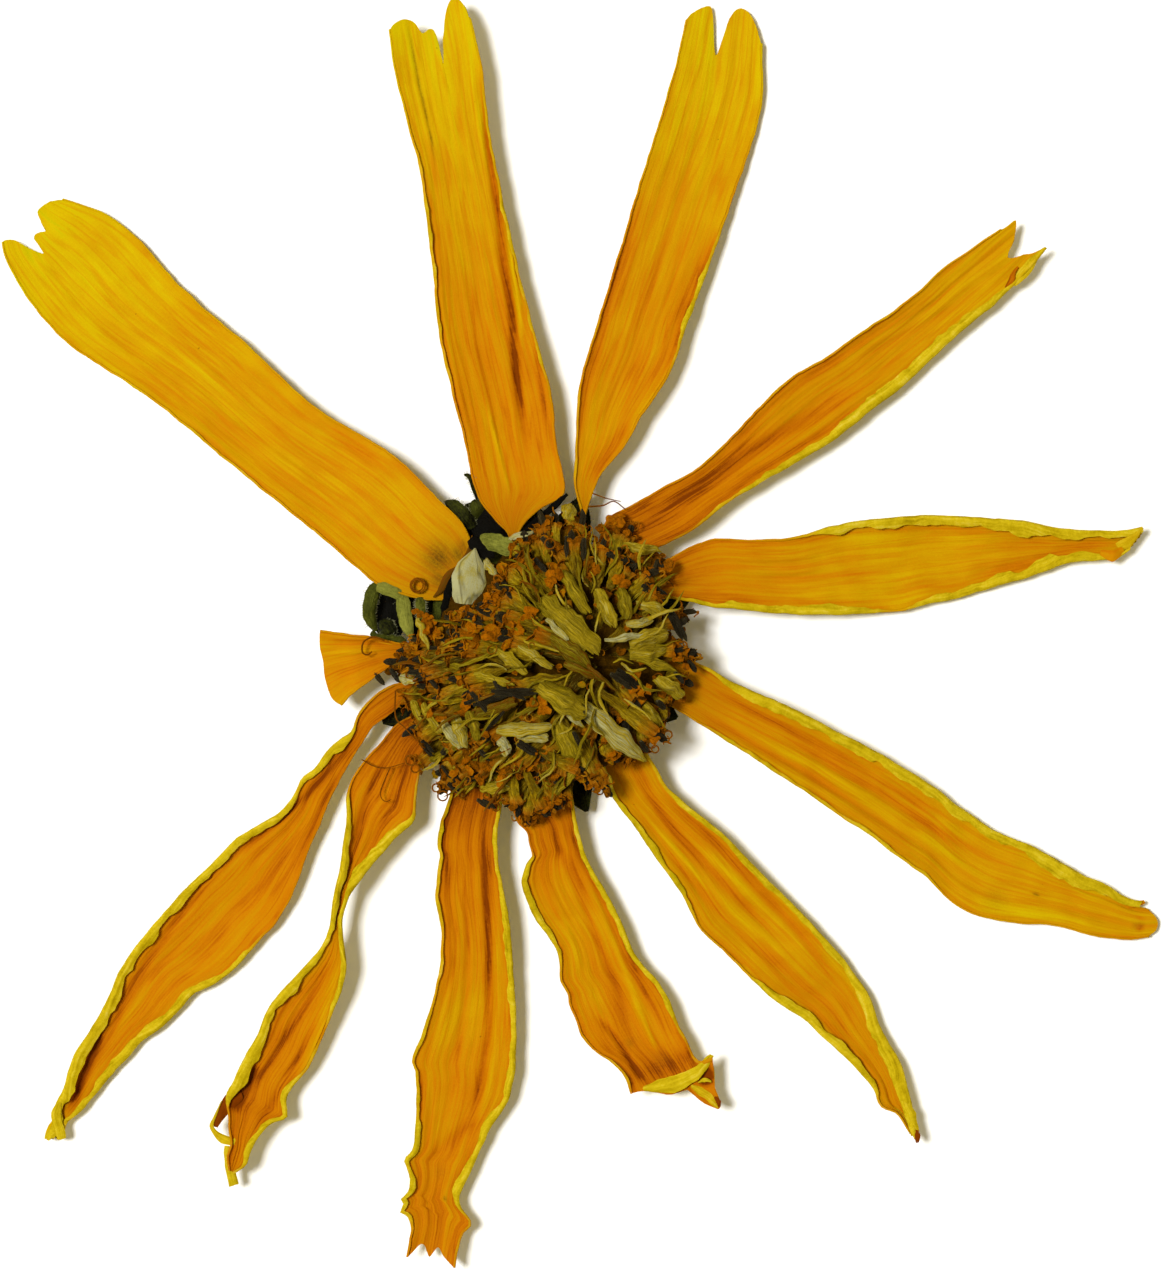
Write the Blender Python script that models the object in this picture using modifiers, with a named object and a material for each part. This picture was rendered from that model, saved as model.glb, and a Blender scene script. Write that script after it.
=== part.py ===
"""Dried sunflower head, as picked: green involucre, disc of tubular florets and twelve ray florets.

The head lies on its underside, with the disc facing up. Lengths in the tables are millimetres in the
part's own frame: +X to the right, +Y away from the reader and +Z up, with the surface at z = 0.
"""
import math
import random

import bmesh
import bpy
import numpy as np
from mathutils import Matrix, Vector

MM = 0.001
SEED = 12
GOLDEN_ANGLE = math.pi * (3.0 - math.sqrt(5.0))
ROUND_STEPS = 24

# Green cup under the head, turned from a profile of (radius, height) that ends in the resting spot
CUP_CENTRE = (-3.2, -1.2)
CUP_PROFILE = [(0.0, 2.8), (6.4, 2.8), (6.9, 2.1), (5.7, 0.9), (3.6, 0.0), (0.0, 0.0)]

# Two rows of bracts that spread out of the cup: reach from the cup's axis, height of root and tip
BRACT_ROWS = [(10.0, 1.15, 1.55), (8.7, 1.9, 2.1)]
BRACTS_A_ROW = 8
BRACT_THICKNESS = 0.65
BRACT_WIDTH = 3.0
BRACT_ROOT = 4.5
BRACT_KEEL = 0.22
BRACT_OUTLINE = [(0.0, 0.6), (0.3, 1.0), (0.55, 0.95), (0.8, 0.6), (1.0, 0.14)]
FIRST_BRACT_DEGREES = 113.0

# Disc: a smaller domed core that the florets stand out of, with a plug that reaches down to the cup
DISC_CENTRE = (-2.1, -1.85)
CORE_RADIUS = 7.5
DOME_TOP = 7.2
RIM_HEIGHT = 5.0
CAP_UNDERSIDE = 4.25
CAP_UNDERSIDE_RADIUS = 7.0
PLUG_RADIUS = 5.3
PLUG_FOOT_RADIUS = 5.0
PLUG_FOOT = 3.15
DOME_RINGS = [0.0, 0.4, 0.7, 0.9, 1.0]

# One tubular floret: lobes that flare round the pointed column of anthers, on a tapering tube
FLORET_PROFILE = [(0.0, 4.3), (0.3, 3.3), (0.95, 3.5), (0.5, 2.6), (0.38, 0.0), (0.0, 0.0)]
FLORET_SIDES = 5
FLORET_COUNT = 76
FLORET_ROOT_DEPTH = 1.5
ROOT_RING_RADIUS = 7.1
SPLAY_CENTRE = (-0.75, -0.9)
LEAN_AT_MIDDLE = 18.0
LEAN_AT_RIM = 76.0
LEAN_GROWTH = 1.3

# Boat-shaped chaff scales: share of the length, share of the width and lift above the middle height
CHAFF_OUTLINE = [(0.0, 0.7, -1.6), (0.35, 1.0, 0.1), (0.75, 0.8, 0.25), (1.0, 0.2, -0.1)]
CHAFF_KEEL = 0.35
CHAFF_THICKNESS = 0.62

# Blades of the ray florets, held under the disc by a narrow claw
RAY_THICKNESS = 0.65
RAY_ROWS = 15
RAY_BOW = 0.45
CLAW_RADIUS = 6.5
CLAW_HALF_WIDTH = 0.5
MARGIN_SHARE = 0.1
PLAIN_COLUMNS = [0.35, 0.65]
TIP_ZONE = 8.0
LONGEST_TIP_SHARE = 0.6
FULL_WIDTH = 5.0
FLAT_BASE_SHARE = 0.3

# Each ray floret lies between two rails, read from its base to its tip. The left rail is on the left
# hand of somebody at the disc who looks out along the ray. The tip runs from the left rail's end to
# the right rail's end, over the lobes and notches. The heights are those of the blade's middle at
# equal steps from base to tip, and the rolls say how far the left and right margins are turned up.
RAYS = {
    "ray_01": {
        "left": [(-9.5, 2.2), (-11.1, 2.5), (-12.9, 3.3), (-17.7, 7.3), (-22.9, 11.5), (-27.7, 15.3),
                 (-32.6, 18.6), (-34.6, 20.9), (-36.0, 23.3), (-36.3, 24.5)],
        "right": [(-6.8, 5.4), (-7.4, 7.0), (-11.4, 11.0), (-13.9, 12.6), (-16.4, 14.1), (-21.1, 18.4),
                  (-25.7, 22.5), (-27.7, 24.8), (-29.6, 26.3), (-32.4, 27.3)],
        "tip": [(-35.3, 24.7), (-33.7, 24.0), (-33.8, 26.9)],
        "heights": (3.5, 2.6, 1.4, 0.5, 0.6),
        "rolls": (0.25, 0.15),
    },
    "ray_02": {
        "left": [(-4.6, 6.2), (-6.4, 8.5), (-7.3, 12.0), (-8.8, 18.2), (-9.3, 22.8), (-10.1, 29.0),
                 (-11.6, 34.6), (-12.0, 37.2)],
        "right": [(-3.9, 6.4), (-2.6, 7.9), (-1.1, 8.8), (-1.8, 14.4), (-3.5, 21.0), (-5.4, 29.6),
                  (-6.2, 35.2), (-6.8, 37.6)],
        "tip": [(-10.9, 38.3), (-9.4, 37.7), (-8.65, 35.1), (-8.2, 39.6), (-7.2, 38.8)],
        "heights": (3.5, 2.8, 2.2, 2.4, 2.8),
        "rolls": (0.4, 0.45),
    },
    "ray_03": {
        "left": [(-0.1, 7.4), (-0.5, 10.4), (0.0, 16.4), (2.0, 23.0), (4.4, 30.9), (5.8, 35.6), (6.3, 37.8)],
        "right": [(0.3, 7.4), (1.5, 10.4), (3.7, 13.6), (5.8, 17.0), (8.4, 24.3), (11.0, 31.9),
                  (11.35, 33.8), (11.3, 36.8)],
        "tip": [(7.6, 39.4), (8.35, 36.4), (9.9, 39.3)],
        "heights": (3.5, 2.6, 1.5, 0.6, 0.5),
        "rolls": (0.3, 0.4),
    },
    "ray_04": {
        "left": [(1.4, 7.0), (5.0, 9.2), (7.0, 10.3), (9.0, 12.1), (13.0, 16.1), (17.2, 18.8), (22.6, 23.0),
                 (25.2, 24.2)],
        "right": [(3.2, 4.8), (5.0, 5.7), (7.0, 6.7), (11.3, 9.6), (15.9, 12.3), (19.9, 15.4), (25.2, 20.2),
                  (27.8, 22.4)],
        "tip": [(26.9, 25.8), (26.6, 23.6), (28.9, 24.1)],
        "heights": (3.5, 2.4, 1.4, 1.2, 1.6),
        "rolls": (0.25, 0.8),
    },
    "ray_05": {
        "left": [(4.9, 4.4), (6.2, 5.3), (8.0, 6.0), (12.4, 6.05), (16.0, 6.95), (22.0, 7.55), (28.0, 7.15),
                 (32.0, 6.65), (34.7, 6.95)],
        "right": [(4.7, 2.3), (8.2, 1.75), (12.5, 1.35), (19.9, 1.5), (25.5, 2.95), (30.6, 4.55),
                  (33.2, 4.7), (34.1, 5.35)],
        "tip": [(35.0, 6.4)],
        "heights": (3.5, 1.8, 0.5, 0.6, 1.4),
        "rolls": (0.7, 0.75),
    },
    "ray_06": {
        "left": [(5.2, -0.9), (10.0, -3.15), (16.0, -6.0), (20.0, -8.2), (26.0, -12.3), (30.0, -14.2),
                 (32.5, -15.4), (35.2, -16.8)],
        "right": [(4.2, -3.4), (10.0, -7.2), (16.0, -11.2), (20.0, -14.0), (23.0, -16.6), (26.0, -17.9),
                  (30.0, -18.3), (34.0, -19.1), (35.2, -18.95)],
        "tip": [(35.9, -17.4), (36.1, -18.2)],
        "heights": (3.5, 1.8, 0.7, 0.5, 0.6),
        "rolls": (0.8, 0.35),
    },
    "ray_07": {
        "left": [(2.4, -5.0), (5.3, -9.4), (10.2, -13.8), (16.0, -19.8), (18.0, -22.6), (19.2, -25.3),
                 (20.5, -28.2), (21.05, -31.2)],
        "right": [(0.6, -6.4), (2.2, -10.5), (5.2, -14.7), (7.6, -18.6), (12.0, -22.8), (15.2, -25.25),
                  (18.1, -28.2), (18.6, -29.35), (20.4, -30.8)],
        "tip": [(20.9, -31.65)],
        "heights": (3.5, 2.2, 1.2, 0.9, 1.8),
        "rolls": (0.7, 0.5),
    },
    "ray_08": {
        "left": [(-0.9, -7.6), (-0.1, -12.5), (1.8, -16.5), (3.7, -20.4), (5.4, -22.6), (7.1, -26.0),
                 (8.1, -26.6)],
        "right": [(-3.4, -7.9), (-4.3, -10.3), (-3.3, -13.0), (-3.75, -15.3), (-3.0, -17.5), (-1.4, -20.6),
                  (-0.75, -23.1), (0.8, -25.9), (3.0, -28.5)],
        "tip": [(8.5, -29.4), (7.0, -28.4), (5.0, -28.6)],
        "heights": (3.5, 2.4, 1.8, 1.8, 2.4),
        "rolls": (0.35, 0.4),
    },
    "ray_09": {
        "left": [(-5.2, -8.0), (-5.2, -14.0), (-4.1, -24.0), (-4.2, -27.5), (-6.3, -32.0), (-7.6, -35.0),
                 (-6.9, -36.7), (-7.9, -39.5)],
        "right": [(-7.6, -8.0), (-9.0, -13.0), (-8.8, -20.0), (-10.6, -26.4), (-10.4, -30.5), (-11.1, -32.8),
                  (-10.8, -34.0), (-11.4, -35.9), (-10.7, -37.2), (-11.0, -38.9)],
        "tip": [(-8.9, -38.1), (-9.5, -38.8), (-10.1, -38.0)],
        "heights": (3.5, 2.4, 1.6, 0.9, 0.5),
        "rolls": (0.5, 0.35),
    },
    "ray_10": {
        "left": [(-8.4, -5.6), (-9.9, -8.0), (-10.4, -11.5), (-12.4, -13.6), (-14.7, -17.0), (-14.65, -20.8),
                 (-15.9, -24.5), (-18.1, -28.3), (-18.4, -30.0), (-20.1, -31.2), (-21.3, -34.2)],
        "right": [(-9.8, -4.6), (-11.4, -5.4), (-13.6, -7.8), (-14.65, -10.0), (-15.0, -14.5), (-15.8, -18.4),
                  (-18.8, -22.2), (-21.2, -26.5), (-23.0, -30.2), (-22.1, -32.0), (-22.1, -34.1)],
        "tip": [(-21.8, -34.35)],
        "heights": (3.5, 2.6, 3.0, 1.6, 1.8),
        "rolls": (0.6, 0.7),
    },
    "ray_11": {
        "left": [(-10.5, -3.6), (-13.0, -5.7), (-15.2, -9.3), (-18.1, -16.2), (-21.0, -20.1), (-25.0, -23.2),
                 (-30.5, -28.8), (-32.7, -31.5)],
        "right": [(-11.3, -2.9), (-13.0, -3.8), (-14.3, -5.9), (-17.4, -8.8), (-21.5, -12.6), (-26.4, -17.6),
                  (-29.6, -22.5), (-32.4, -28.2), (-33.5, -31.1)],
        "tip": [(-33.2, -31.6)],
        "heights": (3.5, 1.6, 0.6, 0.5, 1.0),
        "rolls": (0.5, 0.8),
    },
    "ray_12": {
        "left": [(-10.4, -1.5), (-11.7, -1.9), (-13.4, -3.1), (-14.7, -4.35)],
        "right": [(-10.4, -0.5), (-13.4, 0.05), (-16.2, 0.4)],
        "tip": [(-15.6, -3.8), (-16.1, -1.6)],
        "heights": (3.5, 3.4, 3.2, 3.1, 3.0),
        "rolls": (0.1, 0.15),
    },
}

# Larger chaff scales of the disc: root, tip, width and height of the scale's middle
CHAFF = [
    ((-5.2, 1.8), (-7.0, 5.4), 2.2, 6.4),
    ((-3.2, 3.6), (-6.3, 6.2), 1.6, 6.7),
    ((-2.2, 2.9), (1.3, -1.4), 2.1, 8.6),
    ((0.2, 0.4), (2.2, 3.0), 1.4, 8.7),
    ((2.0, 0.0), (5.3, 1.8), 1.6, 7.9),
    ((-2.3, -2.6), (1.2, -4.6), 1.9, 8.5),
    ((0.2, -4.2), (4.0, -7.8), 2.2, 7.4),
    ((-2.0, -4.6), (-4.9, -6.4), 1.6, 8.1),
    ((-6.4, -4.4), (-8.8, -7.2), 1.5, 7.2),
    ((-8.4, -0.6), (-11.2, 2.0), 1.6, 6.2),
    ((-6.6, -1.4), (-9.6, -3.4), 1.4, 7.2),
    ((-3.6, -7.4), (-3.0, -11.0), 1.6, 6.9),
]


def clear_scene():
    for found in list(bpy.data.objects):
        bpy.data.objects.remove(found, do_unlink=True)
    for found in list(bpy.data.collections):
        bpy.data.collections.remove(found)


def new_collection(name):
    collection = bpy.data.collections.new(name)
    bpy.context.scene.collection.children.link(collection)
    return collection


def paint(name, colour, roughness):
    material = bpy.data.materials.new(name)
    material.use_nodes = True
    shader = material.node_tree.nodes["Principled BSDF"]
    shader.inputs["Base Color"].default_value = (*colour, 1.0)
    shader.inputs["Roughness"].default_value = roughness
    shader.inputs["Metallic"].default_value = 0.0
    return material


def add_object(name, mesh, collection):
    item = bpy.data.objects.new(name, mesh)
    collection.objects.link(item)
    return item


def keep_shape(item):
    """Turn an object's modifiers into its mesh."""
    bpy.context.view_layer.update()
    shaped = item.evaluated_get(bpy.context.evaluated_depsgraph_get())
    mesh = bpy.data.meshes.new_from_object(shaped)
    item.modifiers.clear()
    item.data = mesh


def turned(name, profile, steps, collection):
    """Closed solid of revolution from a profile of (radius, height), given from top to bottom."""
    mesh = bpy.data.meshes.new(name)
    points = [(radius * MM, 0.0, height * MM) for radius, height in profile]
    edges = [(i, i + 1) for i in range(len(points) - 1)]
    mesh.from_pydata(points, edges, [])
    item = add_object(name, mesh, collection)
    screw = item.modifiers.new("turn", "SCREW")
    screw.axis = "Z"
    screw.angle = math.tau
    screw.steps = steps
    screw.render_steps = steps
    screw.use_merge_vertices = True
    screw.merge_threshold = 0.00001
    keep_shape(item)
    return item


def smooth_chain(points, steps=8):
    """Dense points of a smooth curve that runs through the given ones."""
    given = [np.array(point, float) for point in points]
    padded = [2 * given[0] - given[1], *given, 2 * given[-1] - given[-2]]
    chain = []
    for before, start, end, after in zip(padded, padded[1:], padded[2:], padded[3:]):
        pull = end - before
        bend = 2 * before - 5 * start + 4 * end - after
        twist = 3 * start - before - 3 * end + after
        for step in range(steps):
            t = step / steps
            chain.append(start + 0.5 * t * (pull + t * (bend + t * twist)))
    chain.append(given[-1])
    return np.array(chain)


def read_along(chain, shares):
    """Points at the given shares of a chain's length."""
    steps = np.linalg.norm(np.diff(chain, axis=0), axis=1)
    lengths = np.concatenate([[0.0], np.cumsum(steps)])
    wanted = np.array(shares) * lengths[-1]
    return np.stack([np.interp(wanted, lengths, chain[:, axis]) for axis in range(chain.shape[1])], axis=1)


def grid_surface(name, rows):
    """Open surface over rows of points in millimetres, split into triangles that face up."""
    shape = bmesh.new()
    corners = [[shape.verts.new(Vector(point) * MM) for point in row] for row in rows]
    for near, far in zip(corners, corners[1:]):
        for i in range(len(near) - 1):
            shape.faces.new((near[i], near[i + 1], far[i + 1]))
            shape.faces.new((near[i], far[i + 1], far[i]))
    bmesh.ops.recalc_face_normals(shape, faces=shape.faces)
    if sum(face.normal.z for face in shape.faces) < 0:
        bmesh.ops.reverse_faces(shape, faces=shape.faces)
    mesh = bpy.data.meshes.new(name)
    shape.to_mesh(mesh)
    shape.free()
    return mesh


def thicken(item, thickness):
    """Give an open surface its thickness, half to each side, so both faces have the same triangles."""
    solid = item.modifiers.new("thickness", "SOLIDIFY")
    solid.thickness = thickness * MM
    solid.offset = 0.0


def fuse(body, pieces):
    """Join all pieces of a collection to one body, and remove them."""
    union = body.modifiers.new("union", "BOOLEAN")
    union.operation = "UNION"
    union.operand_type = "COLLECTION"
    union.collection = pieces
    union.solver = "EXACT"
    keep_shape(body)
    for piece in list(pieces.objects):
        bpy.data.objects.remove(piece, do_unlink=True)
    bpy.data.collections.remove(pieces)


def claw_ends(ray):
    """Two points of the narrow claw by which a ray is held under the disc."""
    middle = (Vector(ray["left"][0]) + Vector(ray["right"][0])) / 2
    outward = (middle - Vector(DISC_CENTRE)).normalized()
    end = Vector(DISC_CENTRE) + outward * CLAW_RADIUS
    side = Vector((-outward.y, outward.x)) * CLAW_HALF_WIDTH
    return tuple(end + side), tuple(end - side)


def ray_columns(tip, left_end, tip_line):
    """Shares of the width where a blade has its columns, and the point of the tip that each ends at."""
    tip_shares = np.clip((tip - left_end) @ tip_line / (tip_line @ tip_line), 0.0, 1.0)
    low, high = 1.4 * MARGIN_SHARE, 1.0 - 1.4 * MARGIN_SHARE
    inner = [share for share in tip_shares if low < share < high]
    if len(inner) < len(PLAIN_COLUMNS):
        inner = PLAIN_COLUMNS
    columns = np.array([0.0, MARGIN_SHARE, *inner, 1.0 - MARGIN_SHARE, 1.0])
    ends = np.stack([np.interp(columns, tip_shares, tip[:, axis]) for axis in range(2)], axis=1)
    return columns, ends


def ray_rows(ray):
    """Points of a ray's blade, row by row from the claw to the lobed tip."""
    claw_left, claw_right = claw_ends(ray)
    left_chain = smooth_chain([claw_left, *ray["left"]])
    right_chain = smooth_chain([claw_right, *ray["right"]])
    left_end, right_end = left_chain[-1], right_chain[-1]
    tip_line = right_end - left_end
    columns, ends = ray_columns(np.array([left_end, *ray["tip"], right_end]), left_end, tip_line)

    places = np.linspace(0.0, 1.0, RAY_ROWS)
    left = read_along(left_chain, places)
    right = read_along(right_chain, places)
    heights = read_along(smooth_chain(list(enumerate(ray["heights"]))), places)[:, 1]
    length = np.linalg.norm(np.diff((left + right) / 2, axis=0), axis=1).sum()
    zone = min(LONGEST_TIP_SHARE, TIP_ZONE / length)
    rows = []
    for place, near, far, height in zip(places, left, right, heights):
        pull = max(0.0, (place - 1.0 + zone) / zone)
        width = np.linalg.norm(far - near)
        grown = min(1.0, width / FULL_WIDTH) * min(1.0, place / FLAT_BASE_SHARE)
        row = []
        for share, end in zip(columns, ends):
            flat = near + share * (far - near) + pull * (end - left_end - share * tip_line)
            lift = RAY_BOW * (2 * share - 1) ** 2
            if share == 0.0:
                lift += ray["rolls"][0]
            if share == 1.0:
                lift += ray["rolls"][1]
            row.append((flat[0], flat[1], height + grown * lift))
        rows.append(row)
    return rows


def make_rays(collection):
    for name, ray in RAYS.items():
        item = add_object(name, grid_surface(name, ray_rows(ray)), collection)
        thicken(item, RAY_THICKNESS)
        item.data.materials.append(paint(name, (0.68, 0.30, 0.01), 0.6))


def bract_rows(reach, width, root_height, tip_height):
    """Lance-shaped bract that runs out along +X from inside the cup."""
    rows = []
    for share, spread in BRACT_OUTLINE:
        x = BRACT_ROOT + share * (reach - BRACT_ROOT)
        half = 0.5 * width * spread
        z = root_height + (tip_height - root_height) * share ** 2
        rows.append([(x, half, z + BRACT_KEEL), (x, 0.0, z), (x, -half, z + BRACT_KEEL)])
    return rows


def make_involucre(collection):
    """Shallow green cup with a flat spot to rest on, and two rows of bracts."""
    draw = random.Random(SEED)
    cup = turned("involucre", CUP_PROFILE, ROUND_STEPS, collection)
    bracts = new_collection("bracts")
    step = 360.0 / BRACTS_A_ROW
    for row, (reach, root, tip) in enumerate(BRACT_ROWS):
        for i in range(BRACTS_A_ROW):
            turn = FIRST_BRACT_DEGREES + (i + 0.5 * row) * step + draw.uniform(-4.0, 4.0)
            own_reach = reach + draw.uniform(-0.5, 0.6)
            own_width = BRACT_WIDTH + draw.uniform(-0.3, 0.3)
            own_tip = tip + draw.uniform(-0.15, 0.15)
            mesh = grid_surface("bract", bract_rows(own_reach, own_width, root, own_tip))
            bract = add_object(f"bract_{row}_{i}", mesh, bracts)
            thicken(bract, BRACT_THICKNESS)
            bract.matrix_world = Matrix.Rotation(math.radians(turn), 4, "Z")
    fuse(cup, bracts)
    cup.data.transform(Matrix.Translation(Vector((*CUP_CENTRE, 0.0)) * MM))
    cup.data.materials.append(paint("involucre", (0.06, 0.10, 0.03), 0.8))


def dome_height(radius):
    """Height of the disc's core at a distance from its middle."""
    share = min(1.0, radius / CORE_RADIUS)
    return RIM_HEIGHT + (DOME_TOP - RIM_HEIGHT) * (1.0 - share ** 2)


def place_florets(florets):
    """Florets on a golden-angle spiral that lean away from the middle, as they dried."""
    draw = random.Random(SEED)
    pattern = turned("floret", FLORET_PROFILE, FLORET_SIDES, florets)
    sink = Matrix.Translation(Vector((0.0, 0.0, -FLORET_ROOT_DEPTH * MM)))
    for i in range(FLORET_COUNT):
        radius = ROOT_RING_RADIUS * math.sqrt((i + 0.5) / FLORET_COUNT)
        angle = i * GOLDEN_ANGLE + draw.uniform(-0.12, 0.12)
        root = Vector((DISC_CENTRE[0] + radius * math.cos(angle), DISC_CENTRE[1] + radius * math.sin(angle),
                       dome_height(radius)))
        away = math.atan2(root.y - SPLAY_CENTRE[1], root.x - SPLAY_CENTRE[0]) + draw.uniform(-0.45, 0.45)
        share = (radius / ROOT_RING_RADIUS) ** LEAN_GROWTH
        lean = LEAN_AT_MIDDLE + (LEAN_AT_RIM - LEAN_AT_MIDDLE) * share + draw.uniform(-10.0, 8.0)
        size = draw.uniform(0.86, 1.08)
        turn = Matrix.Rotation(away, 4, "Z") @ Matrix.Rotation(math.radians(lean), 4, "Y")
        spin = Matrix.Rotation(draw.uniform(0.0, math.tau), 4, "Z")
        floret = add_object(f"floret_{i:02d}", pattern.data, florets)
        floret.matrix_world = Matrix.Translation(root * MM) @ turn @ spin @ sink @ Matrix.Scale(size, 4)
    bpy.data.objects.remove(pattern, do_unlink=True)


def place_chaff(scales):
    """Chaff scales that stand between the florets, each with its root sunk in the core."""
    up = Vector((0.0, 0.0, 1.0))
    for i, (root, tip, width, height) in enumerate(CHAFF):
        start, end = Vector((*root, height)), Vector((*tip, height))
        side = (end - start).normalized().cross(up) * width / 2
        rows = []
        for share, spread, lift in CHAFF_OUTLINE:
            middle = start.lerp(end, share) + up * lift
            drop = up * CHAFF_KEEL * spread
            rows.append([middle + side * spread - drop, middle, middle - side * spread - drop])
        scale = add_object(f"chaff_{i:02d}", grid_surface("chaff", rows), scales)
        thicken(scale, CHAFF_THICKNESS)


def make_disc(collection):
    profile = [(share * CORE_RADIUS, dome_height(share * CORE_RADIUS)) for share in DOME_RINGS]
    profile += [(CAP_UNDERSIDE_RADIUS, CAP_UNDERSIDE), (PLUG_RADIUS, CAP_UNDERSIDE),
                (PLUG_FOOT_RADIUS, PLUG_FOOT), (0.0, PLUG_FOOT)]
    core = turned("disc", profile, ROUND_STEPS, collection)
    core.data.transform(Matrix.Translation(Vector((*DISC_CENTRE, 0.0)) * MM))
    florets = new_collection("florets")
    place_florets(florets)
    place_chaff(florets)
    fuse(core, florets)
    core.data.materials.append(paint("disc", (0.30, 0.12, 0.02), 0.75))


clear_scene()
head = new_collection("sunflower_head")
make_involucre(head)
make_disc(head)
make_rays(head)
for piece in head.objects:
    print(piece.name, len(piece.data.polygons), "faces")
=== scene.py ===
# %% [markdown]
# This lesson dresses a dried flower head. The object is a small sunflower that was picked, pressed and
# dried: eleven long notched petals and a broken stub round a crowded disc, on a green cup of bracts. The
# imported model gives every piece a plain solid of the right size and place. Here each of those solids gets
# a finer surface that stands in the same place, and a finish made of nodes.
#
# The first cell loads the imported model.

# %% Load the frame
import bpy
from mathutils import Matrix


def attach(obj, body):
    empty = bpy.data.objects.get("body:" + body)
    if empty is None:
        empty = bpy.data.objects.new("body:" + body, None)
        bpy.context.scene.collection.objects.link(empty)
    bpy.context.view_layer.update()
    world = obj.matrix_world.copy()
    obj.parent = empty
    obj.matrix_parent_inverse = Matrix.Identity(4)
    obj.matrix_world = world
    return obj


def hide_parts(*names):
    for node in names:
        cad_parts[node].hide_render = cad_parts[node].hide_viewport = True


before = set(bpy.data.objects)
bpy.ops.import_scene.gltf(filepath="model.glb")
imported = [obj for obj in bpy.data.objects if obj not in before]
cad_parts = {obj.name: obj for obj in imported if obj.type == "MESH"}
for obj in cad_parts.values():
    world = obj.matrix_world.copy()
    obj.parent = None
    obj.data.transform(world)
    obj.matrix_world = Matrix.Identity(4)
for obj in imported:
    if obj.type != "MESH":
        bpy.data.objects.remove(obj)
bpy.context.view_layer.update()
print("pieces in the frame:", len(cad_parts))

# %% [markdown]
# A head like this is measured in millimetres, and Blender works in metres, so one factor turns the first
# into the second. Places on the head were read off a picture of 1164 by 1271 pixels that looks straight
# down, where 16 pixels are one millimetre. The middle of that picture is x = 0, y = 0.

# %% Units and the middle of the head
import math
import random

import bpy
import numpy as np
from mathutils import Vector, noise

MM = 0.001
PICTURE = (1164, 1271)
PIXELS_A_MM = 16.0
DISC_MIDDLE = np.array([-2.1, -1.85])
print("the picture shows", [side / PIXELS_A_MM for side in PICTURE], "mm")

# %% [markdown]
# The head was seen from straight above through a long lens, which keeps the tall disc from leaning over
# the petals. Blender fits a camera's sensor to the longer side of the picture, so the distance follows
# from the picture's height by similar triangles.

# %% Camera
LENS = 120.0
SENSOR = 36.0
SHARP_HEIGHT = 1.5
camera_data = bpy.data.cameras.new("camera")
camera_data.lens = LENS
camera_data.sensor_width = SENSOR
camera = bpy.data.objects.new("camera", camera_data)
bpy.context.scene.collection.objects.link(camera)
camera_distance = PICTURE[1] / PIXELS_A_MM * LENS / SENSOR
camera.location = (0.0, 0.0, (camera_distance + SHARP_HEIGHT) * MM)
bpy.context.scene.camera = camera
print("camera at", round(camera_distance), "mm above the petals")

# %% [markdown]
# The head lies on white card under one soft window-like light from high on the left, so each raised petal drops a
# short soft shadow to its right. A square area light gives that soft edge: its width against its distance sets how
# soft. The surroundings fill the rest with a warm light, such as dry petals throw about, so the shadows are brownish.
# Together they overexpose the card a little, as in a product picture: it stays white, and only the firm shadows are
# left. Far from the head the card itself glows with painted light in the horizon's colour, so it fades into the
# horizon. The Standard view keeps the yellows as strong as painted.

# %% Card and light
CARD_SIZE = 6.0
FILL_ABOVE = (0.34, 0.30, 0.19, 1.0)
FILL_HORIZON = (0.86, 0.85, 0.82, 1.0)
HAZE_HEIGHT = (0.12, 0.3)
GLOW_DISTANCE = (0.12, 0.6)
KEY_PLACE = Vector((-0.19, 0.05, 0.58))
KEY_SIZE = 0.12
KEY_POWER = 4.15


def card(colour, roughness):
    half = CARD_SIZE / 2
    mesh = bpy.data.meshes.new("card")
    mesh.from_pydata([(-half, -half, 0), (half, -half, 0), (half, half, 0), (-half, half, 0)], [], [(0, 1, 2, 3)])
    sheet = bpy.data.objects.new("card", mesh)
    bpy.context.scene.collection.objects.link(sheet)
    paper = bpy.data.materials.new("card paper")
    paper.use_nodes = True
    shader = paper.node_tree.nodes["Principled BSDF"]
    shader.inputs["Base Color"].default_value = colour
    shader.inputs["Roughness"].default_value = roughness
    nodes, links = paper.node_tree.nodes, paper.node_tree.links
    from_middle = nodes.new("ShaderNodeTexCoord")
    distance = nodes.new("ShaderNodeVectorMath")
    distance.operation = "LENGTH"
    far = nodes.new("ShaderNodeMapRange")
    far.interpolation_type = "SMOOTHSTEP"
    far.inputs["From Min"].default_value = GLOW_DISTANCE[0]
    far.inputs["From Max"].default_value = GLOW_DISTANCE[1]
    # The card's far part is a painted glow: an emission in the horizon's colour takes over from the lit paper between
    # these distances from the middle.
    haze = nodes.new("ShaderNodeEmission")
    haze.inputs["Color"].default_value = FILL_HORIZON
    both = nodes.new("ShaderNodeMixShader")
    links.new(from_middle.outputs["Object"], distance.inputs[0])
    links.new(distance.outputs["Value"], far.inputs["Value"])
    links.new(far.outputs["Result"], both.inputs[0])
    links.new(shader.outputs[0], both.inputs[1])
    links.new(haze.outputs[0], both.inputs[2])
    links.new(both.outputs[0], nodes["Material Output"].inputs["Surface"])
    mesh.materials.append(paper)
    return sheet


def key_light():
    data = bpy.data.lights.new("key", "AREA")
    data.size = KEY_SIZE
    data.energy = KEY_POWER
    lamp = bpy.data.objects.new("key", data)
    lamp.location = KEY_PLACE
    lamp.rotation_mode = "QUATERNION"
    lamp.rotation_quaternion = KEY_PLACE.to_track_quat("Z", "Y")
    bpy.context.scene.collection.objects.link(lamp)


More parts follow.
